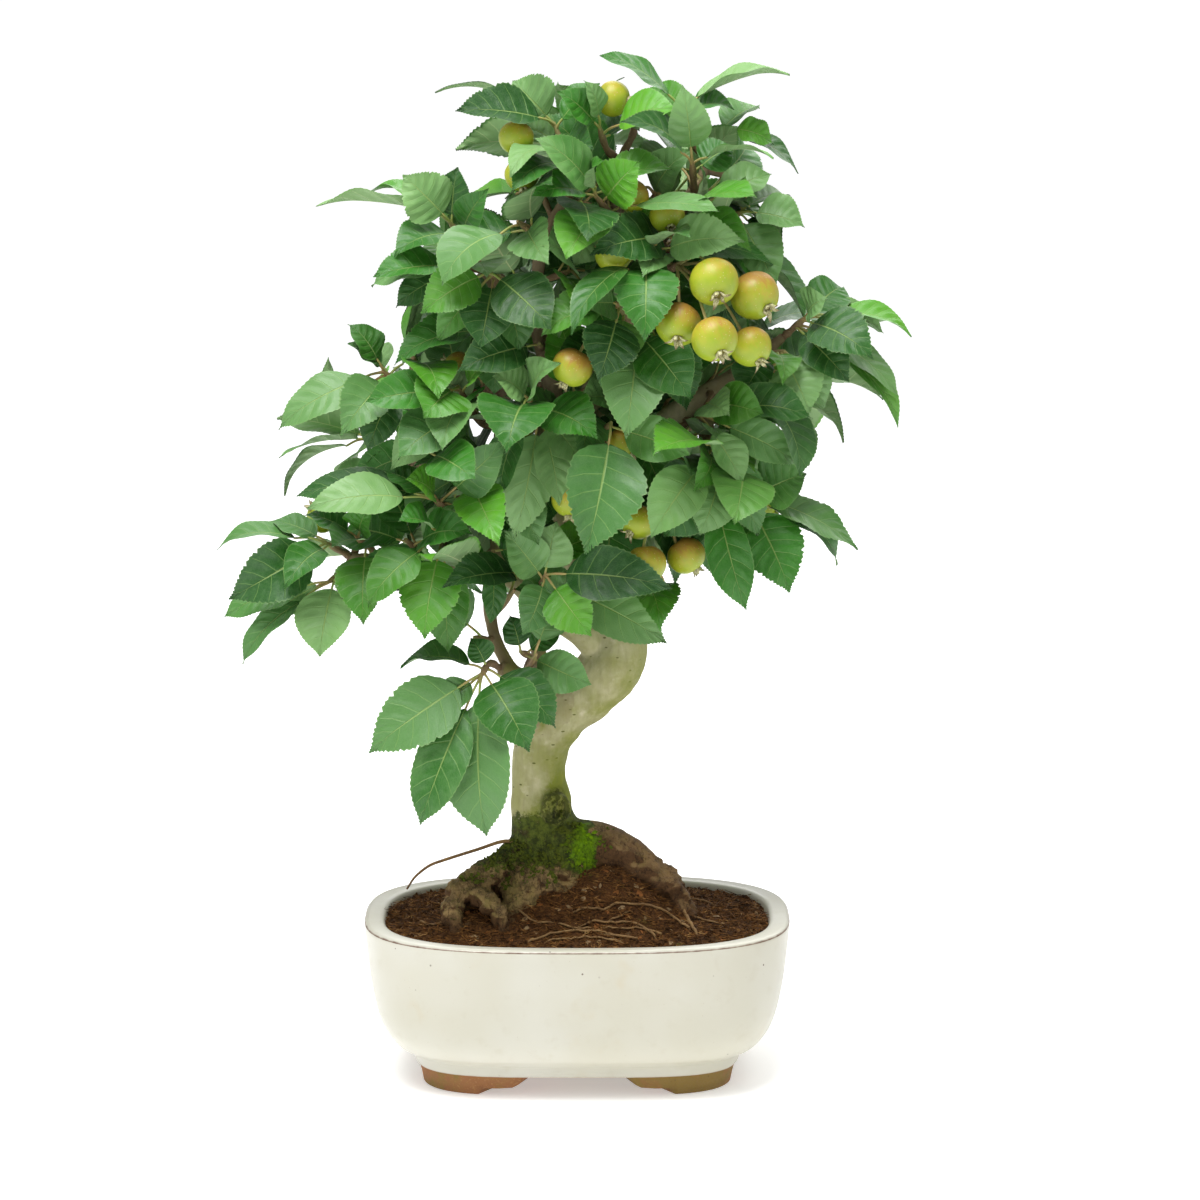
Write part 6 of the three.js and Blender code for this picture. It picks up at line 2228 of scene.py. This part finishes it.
# %% Apple skin
apple_skin, graph, place = new_material("apple_skin")
own = named(graph, "own_place", "Vector")
phase, sepal = named(graph, "phase"), named(graph, "sepal")
x, y, z = parted(graph, own)
facing_sky = named(graph, "sky")
tone = cloud(graph, place, 9, 3, 0.6)
turn_by = graph.node("ShaderNodeCombineXYZ", inputs={
    0: x * 0.03 + phase * 0.11, 1: y * 0.03, 2: z * 0.004})
streaks = cloud(graph, turn_by, 3.2, 4, 0.6)
sunny = facing_sky + z * -0.28 + (phase * 2.3).maths("SINE") * 0.2 + (tone - 0.5) * 0.7
blush = shade(sunny + (streaks - 0.5) * 1.1, -0.3, 0.85)
base = mixed(shade(tone, 0.3, 0.7), colour(138, 156, 18), colour(168, 172, 36))
base = mixed(shade(z, -0.1, 0.8) * 0.5, base, colour(150, 174, 42))
base = mixed(blush * 0.75, base, colour(182, 134, 56))
base = mixed(shade(blush, 0.62, 1.0) * 0.4, base, colour(154, 92, 50))
dots = shade(cells(graph, place, 1.9), 0.1, 0.18, 1, 0)
base = mixed(dots * 0.4, base, colour(220, 208, 146))
russet = shade(z, -0.6, -0.5, 1, 0) * shade(x * x + y * y, 0.1, 0.02) * shade(streaks, 0.3, 0.6)
base = mixed(russet * 0.5, base, colour(140, 104, 54))
wool = cloud(graph, place, 0.7, 3, 0.6)
dry = mixed(shade(wool, 0.35, 0.65), colour(162, 160, 104), colour(220, 216, 176))
dry = mixed(shade(z, 1.06, 1.16) * 0.8, dry, colour(96, 66, 40))
dry = mixed(shade(z, 0.92, 0.78) * 0.7, dry, colour(70, 52, 32))
ring_shadow = shade(x * x + y * y, 0.09, 0.02) * shade(z, 0.5, 0.7)
base = mixed(ring_shadow * 0.75, base, colour(98, 76, 40))
base = mixed(sepal, base, dry)
rough = shade(tone, 0.3, 0.7, 0.4, 0.52) + sepal * 0.45 + ring_shadow * 0.2
finish_material(graph, base, rough, dots * 0.4 + wool * (sepal + 0.08), 0.2,
                {"Coat Weight": 0.08, "Coat Roughness": 0.25, "Specular IOR Level": 0.5})

# %% The points and lines of a bunch
def bunch_mesh(name, seed):
    """The points and lines that one bunch is made from."""
    start, end, apples = BUNCHES[name]
    start, end = Vector(start), Vector(end)
    draw = draws(900 + seed, 5)
    corners, edges = [], []
    numbers = {label: [] for label in ("size", "phase", "radius", "woody")}
    eyes = []

    def put(point, eye=(0, 0, 1), **given):
        corners.append(at(point))
        eyes.append(tuple(eye))
        for label, kept in numbers.items():
            kept.append(given.get(label, 0.0))

    def line(points, radii, woody):
        for i, (point, radius, wood) in enumerate(zip(points, radii, woody)):
            put(point, radius=radius * MM, woody=wood)
            if i:
                edges.append((len(corners) - 2, len(corners) - 1))

    spur = smooth_line([twig_seat(start), start, end], 6)
    rings = [1.85 * (1 + 0.14 * math.sin(4.3 * i)) for i in range(len(spur))]
    line(spur, rings[:-1] + [1.1], [1.0] * len(spur))
    for x, y, z, radius, ax, ay, az in apples:
        eye = Vector((ax, ay, az)).normalized()
        middle = Vector((x, y, z))
        put(middle, eye, size=radius * MM, phase=6 * next(draw))
        root = start.lerp(end, 0.9)
        bend = (middle - eye * radius * 1.3).lerp(root, 0.35)
        bend.z += 0.1 * (middle - root).length
        stalk = smooth_line([root, bend, middle - eye * radius * 0.95,
                             middle - eye * radius * 0.5], 6)
        share = np.linspace(0, 1, len(stalk))
        thick = np.interp(share, [0, 0.1, 0.5, 1], [1.25, 0.8, 0.7, 1.0])
        line(stalk, thick, np.interp(share, [0, 0.25, 1], [0.75, 0.3, 0.1]))
    mesh = lines_from("bunch", corners, edges)
    for label, kept in {**numbers, "eye": eyes}.items():
        carry(mesh, label, kept)
    return mesh


# %% Dress every bunch
for seed, name in enumerate(BUNCHES):
    mesh = grown(f"fruit_{name}_fine", bunch_mesh(name, seed), bunch_tree, apple=apple,
                 unevenness=0.08, stalk_sides=8, skin_material=apple_skin,
                 stalk_material=stalk_skin)
    drop(mesh, ("size", "radius", "eye"))
    add_piece(f"fruit_{name}_fine", mesh, [f"fruit_{name}"])


# %% [markdown]
# ## Moss
#
# Moss is a felt of tiny shoots. The bark's colour already shows where it grows; here
# small lumps are strewn over the same places by the strewing tree, so that its outline
# is soft. Only the skin near the foot of the trunk receives any: a band round the foot,
# a cushion to its right, and tufts on the shoulders of the left root.

# %% Where moss grows thick
# middle x, y, z and reach of each patch
MOSS = [(4, -16, 113, 12), (-10, -18, 119, 12), (-25, -12, 114, 11), (-40, -20, 105, 8),
        (-18, -22, 106, 8), (0, -14, 126, 7), (-52, -26, 98, 5)]
shell = bmesh.new()
shell.from_mesh(skin)
bare = []
for face in shell.faces:
    middle = (face.calc_center_median() - ORIGIN) / MM
    patchy = 1 + 0.9 * noise.noise(middle / 5) + 0.6 * noise.noise(middle / 2)
    if not any((middle - Vector(patch[:3])).length < patch[3] * patchy for patch in MOSS):
        bare.append(face)
bmesh.ops.delete(shell, geom=bare, context="FACES")
moss_ground = bpy.data.meshes.new("moss_ground")
shell.to_mesh(moss_ground)
shell.free()
print("mossy faces:", len(moss_ground.polygons))

# %% Moss material and tufts
moss, graph, place = new_material("moss_felt")
across, _, height = parted(graph, place)
side = (across - ORIGIN.x) / MM - MOSS[0][0]
tall = (height - ORIGIN.z) / MM - MOSS[0][2]
fuzz = cloud(graph, place, 1.6, 4, 0.7)
broad = cloud(graph, place, 9, 3, 0.6)
from_middle = (side * side + tall * tall * 0.35).maths("SQRT")
sunlit = shade(from_middle + (broad - 0.5) * 18 + (fuzz - 0.5) * 8, 12, 2)
base = mixed(sunlit, mixed(fuzz, colour(32, 38, 12), colour(104, 114, 38)),
             mixed(fuzz, colour(62, 94, 7), colour(130, 168, 18)))
finish_material(graph, base, shade(fuzz, 0.3, 0.7, 0.8, 0.98), fuzz, 0.3,
                {"Specular IOR Level": 0.12})
tufts = grown("moss", moss_ground, strew, bit=crumb, density=420e3, smallest=0.6 * MM,
              largest=2.3 * MM, tilt=3.0, lift=0.2 * MM, seed=5, bit_material=moss)
add_piece("moss", tufts)
